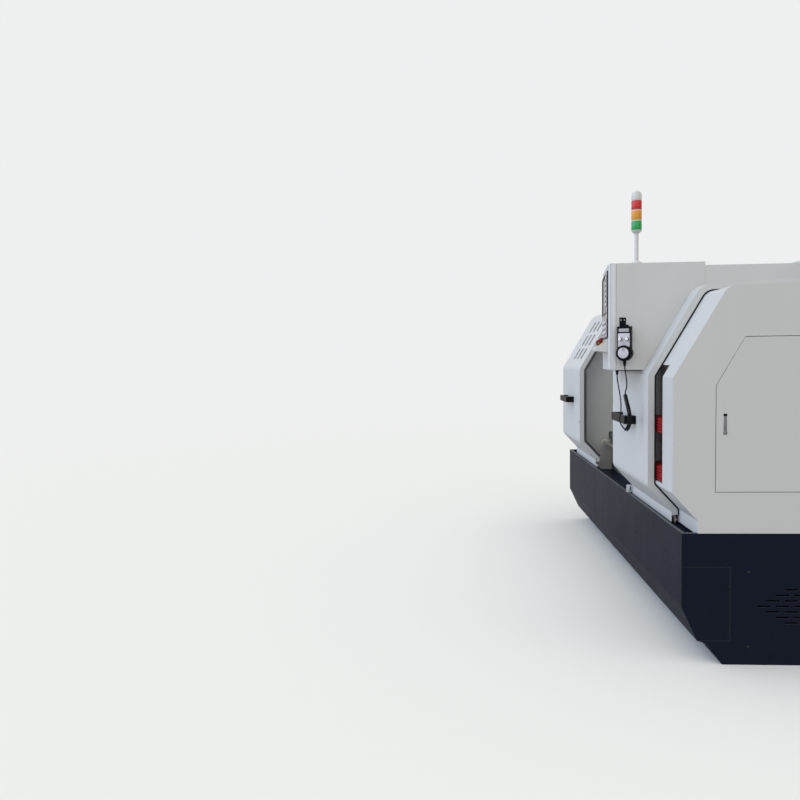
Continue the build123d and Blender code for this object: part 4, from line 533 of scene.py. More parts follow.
def clear_bench():
    """Leaves edit mode and selects nothing."""
    if bpy.context.mode != "OBJECT":
        bpy.ops.object.mode_set(mode="OBJECT")
    bpy.ops.object.select_all(action="DESELECT")


def choose(obj):
    """Selects one piece alone."""
    clear_bench()
    obj.select_set(True)
    bpy.context.view_layer.objects.active = obj


def bake_place(obj):
    """Puts the piece's place, turn and scale into its mesh."""
    choose(obj)
    bpy.ops.object.transform_apply(location=True, rotation=True, scale=True)


def apply_modifiers(obj):
    """Turns the piece's modifiers into mesh."""
    choose(obj)
    for modifier in list(obj.modifiers):
        bpy.ops.object.modifier_apply(modifier=modifier.name)


def round_edges(obj, width, segments=2, angle=35):
    """Bevels every edge that is sharper than an angle, and shades the rest smooth."""
    bevel = obj.modifiers.new("round", "BEVEL")
    bevel.width = width
    bevel.segments = segments
    bevel.limit_method = "ANGLE"
    bevel.angle_limit = radians(angle)
    apply_modifiers(obj)
    choose(obj)
    bpy.ops.object.shade_smooth_by_angle(angle=radians(angle))


def cuboid(low, high):
    """Adds a box between two corners, to be shaped further."""
    clear_bench()
    low = Vector(low)
    high = Vector(high)
    bpy.ops.mesh.primitive_cube_add(size=1, location=(low + high) / 2)
    obj = bpy.context.object
    obj.scale = high - low
    bake_place(obj)
    return obj


def slab(x0, x1, in0, in1, z0, z1, width=0.0, segments=2):
    """Adds a box given by its distances behind the front of the base, with rounded edges."""
    obj = cuboid(spot(x0, in0, z0), spot(x1, in1, z1))
    if width:
        round_edges(obj, width, segments)
    return obj


def rod(start, end, radius, sides=32, end_radius=None):
    """Adds a round bar or cone between two points, to be shaped further."""
    clear_bench()
    start = Vector(start)
    end = Vector(end)
    along = end - start
    bpy.ops.mesh.primitive_cone_add(vertices=sides, radius1=radius,
                                    radius2=radius if end_radius is None else end_radius,
                                    depth=along.length, location=(start + end) / 2)
    obj = bpy.context.object
    obj.rotation_euler = along.to_track_quat("Z", "Y").to_euler()
    bake_place(obj)
    return obj


def bore_out(obj, start, end, radius, sides=48):
    """Bores a round hole into a piece."""
    tool = rod(start, end, radius, sides)
    cut = obj.modifiers.new("bore", "BOOLEAN")
    cut.object = tool
    cut.operation = "DIFFERENCE"
    apply_modifiers(obj)
    bpy.data.objects.remove(tool)


def join(objects):
    """Joins pieces into one object."""
    clear_bench()
    for obj in objects:
        obj.select_set(True)
    bpy.context.view_layer.objects.active = objects[0]
    if len(objects) > 1:
        bpy.ops.object.join()
    return bpy.context.object


def repeat(master, places):
    """Gives a copy of a model at each place, and takes the model itself away."""
    copies = []
    for place in places:
        mesh = master.data.copy()
        mesh.transform(Matrix.Translation(place))
        copies.append(bpy.data.objects.new(master.name + "_copy", mesh))
        bpy.context.scene.collection.objects.link(copies[-1])
    bpy.data.objects.remove(master)
    return copies


def hand_over(pieces, name, body, finish, at=None):
    """Joins and places the finished piece, names it, and lets it ride on its body with its finish."""
    obj = join(pieces) if isinstance(pieces, list) else pieces
    if at is not None:
        obj.data.transform(at)
    clear_bench()
    obj.name = name
    obj.data.name = name
    obj.data.materials.clear()
    obj.data.materials.append(FINISHES[finish])
    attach(obj, body)
    made.append(name)


def tell():
    """Prints the pieces made since the last time."""
    print("made:", ", ".join(made))
    made.clear()


print("bench tools are ready")

# %% [markdown]
# Rubber door seals.
# Each end flange of a door stops a little way short of the cover that it slides over, and a black
# rubber lip closes the gap. Where the two doors meet there is no cover, so the lips there are deeper.
# A lip follows the bent section. It is easiest as one edge extruded along the section, which is then
# given its thickness.

# %% Seals along the doors' ends
LEFT_DOOR_LEFT = -1.450
LEFT_DOOR_EDGE = -0.620
RIGHT_DOOR_EDGE = 0.535
RIGHT_DOOR_RIGHT = 1.339
SEAL_WIDTH = 0.007
SEAL_GAP = 0.0012
SEAL_FOOT = 0.64
MEETING_WIDTH = 0.012
MEETING_DEPTH = 0.018
LEFT_MEETING_WIDTH = 0.008
LEFT_MEETING_FOOT = 0.672


def section_strip(x0, x1, out, thickness, lowest):
    """Extrudes one edge along the guards' section, from a height upwards, and thickens it outwards."""
    whole = guard_path(out)
    first = next(n for n, point in enumerate(whole) if point.z > lowest)
    share = (lowest - whole[first - 1].z) / (whole[first].z - whole[first - 1].z)
    path = [whole[first - 1].lerp(whole[first], share)] + whole[first:]
    clear_bench()
    bpy.ops.mesh.primitive_plane_add(size=1, location=(0, 0, 0))
    obj = bpy.context.object
    bpy.ops.object.mode_set(mode="EDIT")
    bpy.ops.mesh.delete(type="ONLY_FACE")
    bpy.ops.object.mode_set(mode="OBJECT")
    for vertex, x in zip(obj.data.vertices, (x0, x1, x0, x1)):
        vertex.co = Vector((x, path[0].y, path[0].z))
    bpy.ops.object.mode_set(mode="EDIT")
    bpy.ops.mesh.select_all(action="SELECT")
    bpy.ops.mesh.remove_doubles(threshold=0.0001)
    for here, after in zip(path, path[1:]):
        bpy.ops.mesh.extrude_edges_move(TRANSFORM_OT_translate={"value": after - here})
    bpy.ops.object.mode_set(mode="OBJECT")
    solid = obj.modifiers.new("wall", "SOLIDIFY")
    solid.thickness = thickness
    solid.offset = 0
    apply_modifiers(obj)
    bpy.ops.object.mode_set(mode="EDIT")
    bpy.ops.mesh.select_all(action="SELECT")
    bpy.ops.mesh.normals_make_consistent(inside=False)
    bpy.ops.object.mode_set(mode="OBJECT")
    return obj


def door_seals(door, outer, meeting, width, foot, finish):
    """Puts a thin lip over the cover at one end of a door and a deep one where the doors meet."""
    middle = (SEAL_GAP + DOOR_FLANGE_INNER) / 2
    depth = DOOR_FLANGE_INNER - SEAL_GAP
    lip = section_strip(outer, outer + SEAL_WIDTH, middle, depth, SEAL_FOOT)
    hand_over(lip, door + "_seal", door, "black_rubber")
    deep = section_strip(meeting, meeting + width, DOOR_FLANGE_INNER - MEETING_DEPTH / 2, MEETING_DEPTH, foot)
    hand_over(deep, door + "_lip", door, finish)


door_seals("left_door", LEFT_DOOR_LEFT, LEFT_DOOR_EDGE - LEFT_MEETING_WIDTH, LEFT_MEETING_WIDTH,
           LEFT_MEETING_FOOT, "worn_rubber")
door_seals("right_door", RIGHT_DOOR_RIGHT - SEAL_WIDTH, RIGHT_DOOR_EDGE, MEETING_WIDTH, SEAL_FOOT, "black_rubber")
tell()

# %% [markdown]
# Trim of the base and the end.
# A thin folded navy strip stands in the gutter in front of the fixed cover's foot. It stands for the
# base's navy wall there and darkens the foot, a painted shade for the gutter's shadow. The access door
# closes on a dark seal that shows as a line in its gap, and it opens by a latch with a round thumb piece.

# %% Gutter strip, access seal and latch
ACCESS_OUTLINE = ((0.150, 0.796), (0.675, 0.796), (0.675, 1.495), (0.275, 1.495), (0.150, 1.278))
ACCESS_SEAL_WIDTH = 0.016
END_X = 1.620
LATCH_IN = 0.190
THUMB_Z = 1.0645


def bar_between(start, end, width, x0, x1):
    """Adds a flat bar between two points of an end face, given as (distance behind, height)."""
    a = spot(0, *start)
    b = spot(0, *end)
    half = (b - a).length / 2 + width / 2
    obj = cuboid((x0, -width / 2, -half), (x1, width / 2, half))
    along = (b - a).normalized()
    across = along.cross(Vector((1, 0, 0)))
    turn = Matrix((Vector((1, 0, 0)), -across, along)).transposed().to_4x4()
    obj.data.transform(Matrix.Translation((a + b) / 2) @ turn)
    return obj


def latch():
    """Models the access door's latch: a bar in its recess, a lock above and a thumb piece below."""
    bar = slab(END_X - 0.010, END_X + 0.0012, LATCH_IN - 0.0060, LATCH_IN + 0.0060, 1.066, 1.140, 0.0022, 3)
    thumb = rod(spot(END_X - 0.009, LATCH_IN, THUMB_Z), spot(END_X + 0.0030, LATCH_IN, THUMB_Z), 0.0095, 40)
    round_edges(thumb, 0.0022, 3)
    hand_over([bar, thumb], "latch_bar", "access_door", "latch_grey")
    lock = slab(END_X - 0.010, END_X + 0.0020, LATCH_IN - 0.0085, LATCH_IN + 0.0085, 1.1405, 1.1505, 0.0018, 3)
    hand_over(lock, "latch_lock", "access_door", "black_plastic")


# A navy strip in front of the cover's foot, a painted shade for the gutter's shadow.
hand_over(slab(0.722, 1.601, 0.0685, 0.0713, 0.5455, 0.600), "gutter_shade_strip", "machine", "navy_coat")
hand_over([bar_between(a, b, ACCESS_SEAL_WIDTH, END_X - 0.0085, END_X - 0.0035)
           for a, b in zip(ACCESS_OUTLINE, ACCESS_OUTLINE[1:] + ACCESS_OUTLINE[:1])],
          "access_seal", "machine", "black_rubber")
latch()
tell()

# %% [markdown]
# Rim of the base and feet of the doors.
# The base's top edge is a folded rim. A thin lighter strip on its narrow top face is a painted
# highlight, the thin light line where that face catches the light. At the foot of each door, where
# the doors meet, there is a small plate: the right one has a slot for setting the roller's height,
# the left one a screw. The left one stays above the right door's bracket, which passes under it
# when both doors close.

# %% Rim strips, foot plates and screws
RIM_TOP = 0.606
RIM_HEIGHT = 0.0008
SCREW_HEIGHT = 0.0028
SCREW_RADIUS = 0.0055


def screws(name, body, places, normal, finish, radius=SCREW_RADIUS):
    """Puts pan-head screws with hexagon sockets at places given by x, distance behind and height."""
    head = rod((0, 0, -0.0005), (0, 0, SCREW_HEIGHT), radius, 20, radius * 0.82)
    socket = rod((0, 0, SCREW_HEIGHT - 0.0004), (0, 0, SCREW_HEIGHT + 0.0002), radius * 0.42, 6)
    master = join([head, socket])
    master.data.transform(Vector(normal).to_track_quat("Z", "Y").to_matrix().to_4x4())
    hand_over(repeat(master, [spot(*place) for place in places]), name, body, finish)


# Thin lighter strips on the rim's top faces, a painted highlight along the rim.
hand_over([slab(x0, x1, 0.0010, back, RIM_TOP, RIM_TOP + RIM_HEIGHT)
           for x0, x1, back in ((-1.601, 1.601, 0.0170), (-1.619, -1.603, 0.060), (1.603, 1.619, 0.060))],
          "rim_highlight_strips", "machine", "rim_highlight_navy")
hand_over(slab(0.5385, 0.5415, -0.002, 0.0325, 0.6075, 0.652, 0.0012), "right_foot_plate", "right_door", "trim_white")
hand_over(slab(0.5410, 0.5420, 0.0185, 0.0245, 0.6140, 0.643), "right_foot_slot", "right_door", "black_rubber")
hand_over(slab(-0.6232, -0.6202, 0.034, 0.062, 0.632, 0.668, 0.0012), "left_foot_plate", "left_door", "trim_white")
screws("left_foot_screw", "left_door", [(-0.6226, 0.0420, 0.650)], (1, 0, 0), "turned_steel", 0.0065)
screws("door_edge_screws", "left_door", [(-0.630, -0.0812, 0.93)], (0, -1, 0), "motor_black", 0.005)
screws("base_end_screws", "machine", product((1.6198,), (0.30, 0.62, 0.94), (0.085, 0.43)), (1, 0, 0),
       "motor_black")
screws("base_front_screws", "machine", product((-1.35, -0.75, -0.15, 0.75, 1.30), (-0.0002,), (0.42,)), (0, -1, 0),
       "motor_black")
tell()

# %% [markdown]
# The pendant.
# The pendant's housing comes from the frame. Its face is a pale plate under a dark brow with a plain
# label field, two switches with white pointers and a big dial. Everything is modelled flat on the
# bench, with the face looking up, and then laid on the pendant's own plane.

# %% Pendant face
BOX_RIGHT = 1.210
PENDANT_TURN = radians(30)
PENDANT_OUT = Vector((cos(PENDANT_TURN), -sin(PENDANT_TURN), 0))
PENDANT_ALONG = Vector((sin(PENDANT_TURN), cos(PENDANT_TURN), 0))
PENDANT_FACE = 0.030
DIAL_Z = 1.431
DIAL_MARKS = 25
MARK_CIRCLE = 0.0358
SWITCH_Z = 1.500
SWITCH_APART = 0.017


def frame_of(along, back, out, place):
    """Gives the matrix of a face from its three directions and its place."""
    return Matrix.Translation(place) @ Matrix((along, back, out)).transposed().to_4x4()


def flat(u0, u1, z0, z1, low, high, width=0.0, segments=2):
    """Adds a flat plate in a face's own frame: across, up and outwards."""
    obj = cuboid((u0, z0, low), (u1, z1, high))
    if width:
        round_edges(obj, width, segments)
    return obj


def disc(u, z, low, high, radius, sides=48, width=0.0):
    """Adds a round plate in a face's own frame."""
    obj = rod((u, z, low), (u, z, high), radius, sides)
    if width:
        round_edges(obj, width)
    return obj


PENDANT_FRAME = frame_of(PENDANT_ALONG, Vector((0, 0, 1)), PENDANT_OUT, spot(BOX_RIGHT + 0.024, -0.165, 0))


def on_pendant(pieces, name, finish, body="right_door"):
    """Lays pieces on the pendant's plane and hands them over."""
    hand_over(pieces, name, body, finish, at=PENDANT_FRAME)


def pendant_face():
    """Models the pendant's plate, label field, pointers, dial face and strain relief."""
    low = PENDANT_FACE - 0.0010
    on_pendant(flat(-0.0290, 0.0290, 1.462, 1.5285, low, PENDANT_FACE + 0.0008, 0.0004), "pendant_plate",
               "lilac_plastic")
    on_pendant(flat(-0.0255, 0.0255, 1.5350, 1.5520, low, PENDANT_FACE + 0.0006, 0.0003), "pendant_label",
               "grey_plastic")
    on_pendant(disc(0, DIAL_Z, low, PENDANT_FACE + 0.0035, 0.0385, 64, 0.0012), "pendant_ring", "black_plastic")
    marks = [disc(sin(turn) * MARK_CIRCLE, DIAL_Z + cos(turn) * MARK_CIRCLE, PENDANT_FACE,
                  PENDANT_FACE + 0.0038, 0.0005, 8)
             for turn in [radians(step * 360 / DIAL_MARKS) for step in range(DIAL_MARKS)]]
    marks.append(disc(0, 1.4795, PENDANT_FACE, PENDANT_FACE + 0.0022, 0.0024, 16))
    on_pendant(marks, "pendant_marks", "grey_plastic")
    rings = []
    for number in range(5):
        z = 1.389 - 0.005 * number
        ends = [PENDANT_FRAME @ Vector((0, height, 0.016)) for height in (z, z - 0.003)]
        rings.append(rod(*ends, 0.0085 - 0.00035 * number, 24))
    hand_over(rings, "strain_relief", "right_door", "black_rubber")
    on_pendant(disc(0, DIAL_Z, 0.0340, 0.0405, 0.0318, 64, 0.0010), "dial_grip", "black_plastic", "pendant_dial")
    face = disc(0, DIAL_Z, 0.0395, 0.0412, 0.0265, 64, 0.0006)
    dimple = disc(-0.011, DIAL_Z + 0.009, 0.0405, 0.0420, 0.0042, 24, 0.0005)
    on_pendant([face, dimple], "dial_face", "lilac_plastic", "pendant_dial")
    for body, u in (("pendant_axis_knob", -SWITCH_APART), ("pendant_step_knob", SWITCH_APART)):
        cap = disc(u, SWITCH_Z, 0.0410, 0.0428, 0.0078, 32, 0.0006)
        arrow = flat(u - 0.0024, u + 0.0024, SWITCH_Z - 0.0085, SWITCH_Z + 0.0105, 0.0410, 0.0452, 0.0010)
        on_pendant([cap, arrow], body + "_cap", "white_plastic", body)


pendant_face()
tell()

# %% [markdown]
# The pendant's cord.
# The cord leaves the pendant, becomes a tight coil that hangs in a loop behind the handle, and runs
# straight up into the gland under the control box. One curve does it all: the hanging line is a
# smooth path through a few points, and along the middle stretch the cord circles round that path.

# %% Curly cord
CORD_RADIUS = 0.0030
COIL_RADIUS = 0.0080
COIL_PITCH = 0.0066
STEPS_PER_TURN = 14
PLAIN_STEP = 0.006
CORD_LINE = ((0.0379, -0.173, 1.368), (0.037, -0.169, 1.336), (0.034, -0.163, 1.300), (0.031, -0.161, 1.262),
             (0.028, -0.168, 1.228), (0.026, -0.162, 1.195), (0.023, -0.150, 1.150), (0.019, -0.143, 1.103),
             (0.013, -0.146, 1.066), (0.006, -0.158, 1.044), (0.001, -0.177, 1.062), (-0.003, -0.188, 1.092),
             (-0.007, -0.182, 1.130), (-0.011, -0.180, 1.180), (-0.014, -0.187, 1.236), (-0.017, -0.196, 1.290),
             (-0.018, -0.198, 1.322))
COIL_FROM = 4
COIL_TO = 9.4


def smooth_line(points, step):
    """Gives close, evenly spaced points of a smooth line through a few points, and their stations."""
    fine = []
    stations = []
    for number in range(len(points) - 1):
        p0 = points[max(number - 1, 0)]
        p1, p2 = points[number], points[number + 1]
        p3 = points[min(number + 2, len(points) - 1)]
        count = max(int((p2 - p1).length / step), 2)
        for part in range(count):
            t = part / count
            fine.append(((p1 * 2) + (p2 - p0) * t + (p0 * 2 - p1 * 5 + p2 * 4 - p3) * t * t
                         + (p1 * 3 - p0 - p2 * 3 + p3) * t * t * t) / 2)
            stations.append(number + t)
    fine.append(points[-1])
    stations.append(len(points) - 1.0)
    return fine, stations


def cord_points():
    """Gives the cord's points: straight, coiled round the line, and straight again."""
    corners = [spot(BOX_RIGHT + x, distance, z) for x, distance, z in CORD_LINE]
    line, stations = smooth_line(corners, COIL_PITCH / STEPS_PER_TURN)
    points = []
    side = Vector((1, 0, 0))
    angle = 0
    travelled = 0
    coil_start = next(n for n, station in enumerate(stations) if station >= COIL_FROM)
    coil_end = next(n for n, station in enumerate(stations) if station >= COIL_TO)
    for number, here in enumerate(line):
        before = line[max(number - 1, 0)]
        after = line[min(number + 1, len(line) - 1)]
        along = (after - before).normalized()
        side = (side - along * side.dot(along)).normalized()
        step = (here - before).length
        if coil_start <= number <= coil_end:
            angle += 2 * pi * step / COIL_PITCH
            rise = min(number - coil_start, coil_end - number) / (STEPS_PER_TURN * 1.5)
            reach = COIL_RADIUS * min(max(rise, 0), 1)
            points.append(here + (side * cos(angle) * reach + along.cross(side) * sin(angle) * reach))
        else:
            travelled += step
            if travelled >= PLAIN_STEP or number in (0, len(line) - 1):
                points.append(here)
                travelled = 0
    return points


def pendant_cord():
    points = cord_points()
    clear_bench()
    bpy.ops.curve.primitive_nurbs_path_add()
    obj = bpy.context.object
    obj.data.splines.clear()
    spline = obj.data.splines.new("NURBS")
    spline.points.add(len(points) - 1)
    for point, place in zip(spline.points, points):
        point.co = (*place, 1)
    spline.order_u = 3
    spline.use_endpoint_u = True
    obj.data.dimensions = "3D"
    obj.data.resolution_u = 2
    obj.data.bevel_depth = CORD_RADIUS
    obj.data.bevel_resolution = 3
    obj.name = "pendant_cord"
    obj.location = (0, 0, 0)
    obj.data.materials.append(FINISHES["black_rubber"])
    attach(obj, "right_door")
    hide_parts("cord_down", "cord_coil", "cord_up")


pendant_cord()

# %% [markdown]
# The control unit.
# The screen face stands at a small angle to the front. A pale key field surrounds the keys, a dark
# frame the screen, and the shelf below carries a collar under each control.

# %% Control unit trim
FACE_LENGTH = hypot(0.520, 0.075)
FACE_ALONG = Vector((0.520, -0.075, 0)) / FACE_LENGTH
FACE_OUT = Vector((-0.075, -0.520, 0)) / FACE_LENGTH
FACE_FRAME = frame_of(FACE_ALONG, Vector((0, 0, 1)), FACE_OUT, spot(BOX_RIGHT - 0.260, -0.245 + 0.0375, 0))
SHELF_HIGH, SHELF_LIP, SHELF_REACH = 1.500, 1.462, 0.060
SHELF_SLOPE = atan2(SHELF_HIGH - SHELF_LIP, SHELF_REACH)
STOP_U, START_U, HOLD_U, KNOB_U = 0.185, 0.105, 0.050, -0.030
KEY_PITCH = 0.027
KEY_HALF = 0.0085


def shelf_frame(u):
    """Gives the frame of a control on the sloping shelf."""
    up = FACE_OUT * sin(SHELF_SLOPE) + Vector((0, 0, cos(SHELF_SLOPE)))
    place = FACE_FRAME @ Vector((u, (SHELF_HIGH + SHELF_LIP) / 2, SHELF_REACH / 2))
    return frame_of(FACE_ALONG, up.cross(FACE_ALONG), up, place)


def on_face(name, finish, outlines, low, high, width=0.0, segments=2):
    """Lays flat plates with the same thickness on the unit's face and hands them over as one."""
    plates = [flat(*outline, low, high, width, segments) for outline in outlines]
    hand_over(plates, name, "right_door", finish, FACE_FRAME)


def unit_trim():
    """Models the key fields, the screen's frame, lit fields on the screen and the key caps."""
    on_face("key_fields", "key_grey", [(-0.229, 0.229, 1.5165, 1.6365), (0.0935, 0.229, 1.6415, 1.8425)],
            0.0046, 0.0058)
    on_face("screen_frame", "black_plastic",
            [(-0.2125, 0.0925, 1.832, 1.8395), (-0.2125, 0.0925, 1.6345, 1.642),
             (-0.2125, -0.205, 1.6345, 1.8395), (0.085, 0.0925, 1.6345, 1.8395)], 0.0046, 0.0075, 0.001)
    fields = [(-0.196, 0.078, 1.812, 1.824), (-0.196, -0.040, 1.690, 1.806), (-0.034, 0.078, 1.690, 1.806)]
    fields += [(-0.196 + n * 0.0565, -0.196 + n * 0.0565 + 0.048, 1.652, 1.674) for n in range(5)]
    on_face("screen_fields", "screen_light", fields, 0.0026, 0.0030)
    keys = [((column - 7) * KEY_PITCH, 1.542 + row * KEY_PITCH) for column in range(15) for row in range(3)]
    keys += [(0.123 + column * KEY_PITCH, 1.818 - row * KEY_PITCH) for column in range(4) for row in range(6)]
    on_face("key_caps", "pale_plastic", [(u - KEY_HALF, u + KEY_HALF, z - KEY_HALF, z + KEY_HALF) for u, z in keys],
            0.0070, 0.0086, 0.0010, 1)


def on_shelf(u, *size):
    """Adds a round plate on the shelf."""
    obj = disc(0, 0, *size)
    obj.data.transform(shelf_frame(u))
    return obj


def shelf_trim():
    """Models a yellow ring under the emergency stop, collars, small switches and a scale."""
    hand_over(on_shelf(STOP_U, 0, 0.0024, 0.0268, 56, 0.0008), "stop_ring", "right_door", "yellow_plastic")
    collars = [on_shelf(u, 0, 0.0045, 0.0150, 40, 0.0010) for u in (START_U, HOLD_U)]
    collars.append(on_shelf(KNOB_U, 0, 0.0004, 0.0190, 40))
    for u in (-0.090, -0.125, -0.160, -0.195):
        collars.append(on_shelf(u, 0, 0.0055, 0.0085, 28, 0.0010))
        collars.append(on_shelf(u, 0.0055, 0.0210, 0.0028, 16, 0.0008))
    hand_over(collars, "shelf_collars", "right_door", "black_plastic")


def console_trim():
    """Lays the pale front frame on the box's side, and a black strip under the box's edge that paints the shadow line
    in the gap below it.
    """
    hand_over(slab(BOX_RIGHT - 0.0004, BOX_RIGHT + 0.0008, -0.2325, -0.2090, 1.349, 1.876), "console_front_frame",
              "right_door", "trim_white")
    # A black strip under the box's edge: a painted shadow line in the gap below the box.
    hand_over(slab(BOX_RIGHT - 0.0070, BOX_RIGHT - 0.0006, -0.205, -0.083, 1.3405, 1.3450), "console_shadow_strip",
              "right_door", "black_rubber")
    hand_over(slab(BOX_RIGHT - 0.0004, BOX_RIGHT + 0.0010, 0.150, 0.2285, 1.60, 1.862, 0.0004, 1),
              "console_back_plate", "right_door", "white_coat")


unit_trim()
shelf_trim()
console_trim()
# The emergency stop wears the darker red, a painted shade.
nodes["emergency_stop"].data.materials[0] = FINISHES["shaded_stop_red"]
tell()

# %% [markdown]
# The signal lamp.
# The lamp's solid has three waists. A coloured sleeve sits on each section between them.

# %% Lamp lenses
LAMP_IN = -0.097
LENS_LOW = 1.880 + 0.165
LENS_PITCH = 0.051
LENS_RADIUS = 0.0254
for number, color in enumerate(("green", "amber", "red")):
    low = LENS_LOW + number * LENS_PITCH + 0.0025
    sleeve = rod(spot(BOX_RIGHT - 0.045, LAMP_IN, low), spot(BOX_RIGHT - 0.045, LAMP_IN, low + LENS_PITCH - 0.005),
                 LENS_RADIUS, 56)
    round_edges(sleeve, 0.0014)
    hand_over(sleeve, "lens_" + color, "right_door", color + "_plastic")
tell()

# %% [markdown]
# Inside the guards.
# Steel parts of a lathe are held by screws, wiped by rubber and lubricated through small nipples.
# The live centre sits in the quill, each jaw has its screw, and a jointed hose brings the coolant
# to the tool.

# %% Chuck, quill, saddle and hose
AXIS = (behind(0.380), 1.080)
JAW_TIP = -0.690
SCREW_IN, SCREW_Z = 0.150, 0.752
WIPER_LOW, WIPER_HIGH = 0.8325, 0.868


def on_axis(radius, turn):
    """Gives a point round the spindle's axis as (y, z); no turn is straight up."""
    return AXIS[0] + radius * sin(turn), AXIS[1] + radius * cos(turn)


def axis_rod(x0, x1, *size):
    """Adds a round piece on the spindle's axis."""
    return rod((x0, *AXIS), (x1, *AXIS), *size)


def cups_along(line, length, stride, *size):
    """Adds cups that sit one in the other along a line."""
    return [rod(line[n], line[n + length], *size) for n in range(0, len(line) - length - 1, stride)]


def jaw_bolts():
    """Puts a bolt in the face of each jaw."""
    for number in (1, 2, 3):
        jaw = f"chuck_jaw_{number}"
        middle = sum((Vector(corner) for corner in nodes[jaw].bound_box), Vector((0, 0, 0))) / 8
        side = atan2(middle.y - AXIS[0], middle.z - AXIS[1])
        place = on_axis(hypot(middle.y - AXIS[0], middle.z - AXIS[1]) - 0.012, side)
        bolt = rod((JAW_TIP - 0.001, *place), (JAW_TIP + 0.0035, *place), 0.0062, 20)
        hand_over(bolt, jaw + "_bolt", jaw, "bright_steel")


def turned_parts():
    """Models the ring in the chuck's face and the live centre."""
    ring = axis_rod(-0.7405, -0.7392, 0.046, 64)
    bore_out(ring, (-0.7410, *AXIS), (-0.7385, *AXIS), 0.034, 64)
    hand_over(ring, "chuck_ring", "spindle", "bright_steel")
    centre = join([axis_rod(0.764, 0.7925, 0.0260, 48), axis_rod(0.728, 0.764, 0.0003, 48, 0.0205),
                   axis_rod(0.7925, 0.7960, 0.030, 48)])
    round_edges(centre, 0.0010)
    hand_over(centre, "live_centre", "quill", "bright_steel")


def screw_wiper():
    """Models the wiper round the feed screw."""
    collar = rod(spot(-0.8400, SCREW_IN, SCREW_Z), spot(-0.8365, SCREW_IN, SCREW_Z), 0.027, 48)
    bore_out(collar, spot(-0.8420, SCREW_IN, SCREW_Z), spot(-0.8345, SCREW_IN, SCREW_Z), 0.0172)
    hand_over(collar, "screw_wiper", "machine", "inner_coat_painted_fill")


def coolant_hose():
    """Models a jointed hose from a block on the cross slide to the tool, one cup after the other."""
    line = [spot(*p) for p in ((0.385, 0.36, 0.972), (0.400, 0.355, 1.03), (0.398, 0.335, 1.09),
                               (0.375, 0.290, 1.145), (0.335, 0.225, 1.165), (0.275, 0.160, 1.140),
                               (0.235, 0.125, 1.098))]
    fine = smooth_line(line, 0.002)[0]
    cups = [cuboid(spot(0.366, 0.345, 0.9545), spot(0.396, 0.385, 0.975))]
    cups += cups_along(fine, 7, 6, 0.0092, 18, 0.0070)
    cups.append(rod(fine[-8], fine[-1] + (fine[-1] - fine[-2]) * 6, 0.0075, 18, 0.0035))
    hose = join(cups)
    round_edges(hose, 0.0006, 1, 50)
    hand_over(hose, "coolant_hose", "cross_slide", "grey_plastic")


jaw_bolts()
turned_parts()
hand_over([slab(*ends, *way, WIPER_LOW, WIPER_HIGH)
           for ends in ((0.1035, 0.1100), (0.4900, 0.4965)) for way in ((0.182, 0.290), (0.470, 0.576))],
          "saddle_wipers", "carriage", "black_rubber")
screws("saddle_screws", "carriage", product((0.135, 0.175, 0.425, 0.465), (0.20, 0.275), (0.8802,)), (0, 0, 1),
       "turned_steel", 0.007)
screw_wiper()
coolant_hose()
hand_over([rod(spot(x, 0.380, 1.148), spot(x, 0.380, 1.157), 0.004, 12, 0.0026) for x in (0.95, 1.18)],
          "oil_nipples", "tailstock", "bright_steel")
tell()

# %% [markdown]
# Motors.
# A servo motor has a smooth black case, and two plugs on top where its cables enter. Each plug is a
# round cap on a square foot.

# %% Motor plugs
PLUG_IN = 0.150
MOTOR_TOP = 0.807
pieces = []
for x in (1.395, 1.450):
    pieces.append(slab(x - 0.014, x + 0.014, PLUG_IN - 0.014, PLUG_IN + 0.014, MOTOR_TOP - 0.001, MOTOR_TOP + 0.012,
                       0.0015))
    pieces.append(rod(spot(x, PLUG_IN, MOTOR_TOP + 0.011), spot(x, PLUG_IN, MOTOR_TOP + 0.036), 0.0115, 28))
    round_edges(pieces[-1], 0.0012)
hand_over(pieces, "z_servo_plugs", "machine", "motor_black")
tell()

# %% [markdown]
# The back.
# Machines are carried to their place by eye bolts on the cabinet. Its door has a swing handle, two
# quarter-turn locks and pressed louvres, the switch sits on a plain yellow plate, and conduits run
# from the cabinet's side into the base. The rear wall is made of sheets, and flat strips with
# screws cover their joints.

# %% Cabinet and rear wall
DOOR_PLANE = 1.090
HANDLE_X = 1.566
SWITCH_X = 1.418
CABINET_TOP = 1.890
CABINET_SIDE = 0.118
CONDUIT_TOP = 0.540
WALL_PLANE = 0.742
JOINTS_X = (-1.08, -0.53, 0.02)


def back_plate(x0, x1, z0, z1, thick, width=0.0, segments=2):
    """Adds a flat piece on the outside of the cabinet's door."""
    return slab(x0, x1, DOOR_PLANE - 0.0005, DOOR_PLANE + thick, z0, z1, width, segments)


def back_rod(x, z, low, high, radius):
    """Adds a round piece on the outside of the cabinet's door."""
    return rod(spot(x, DOOR_PLANE + low, z), spot(x, DOOR_PLANE + high, z), radius, 32)


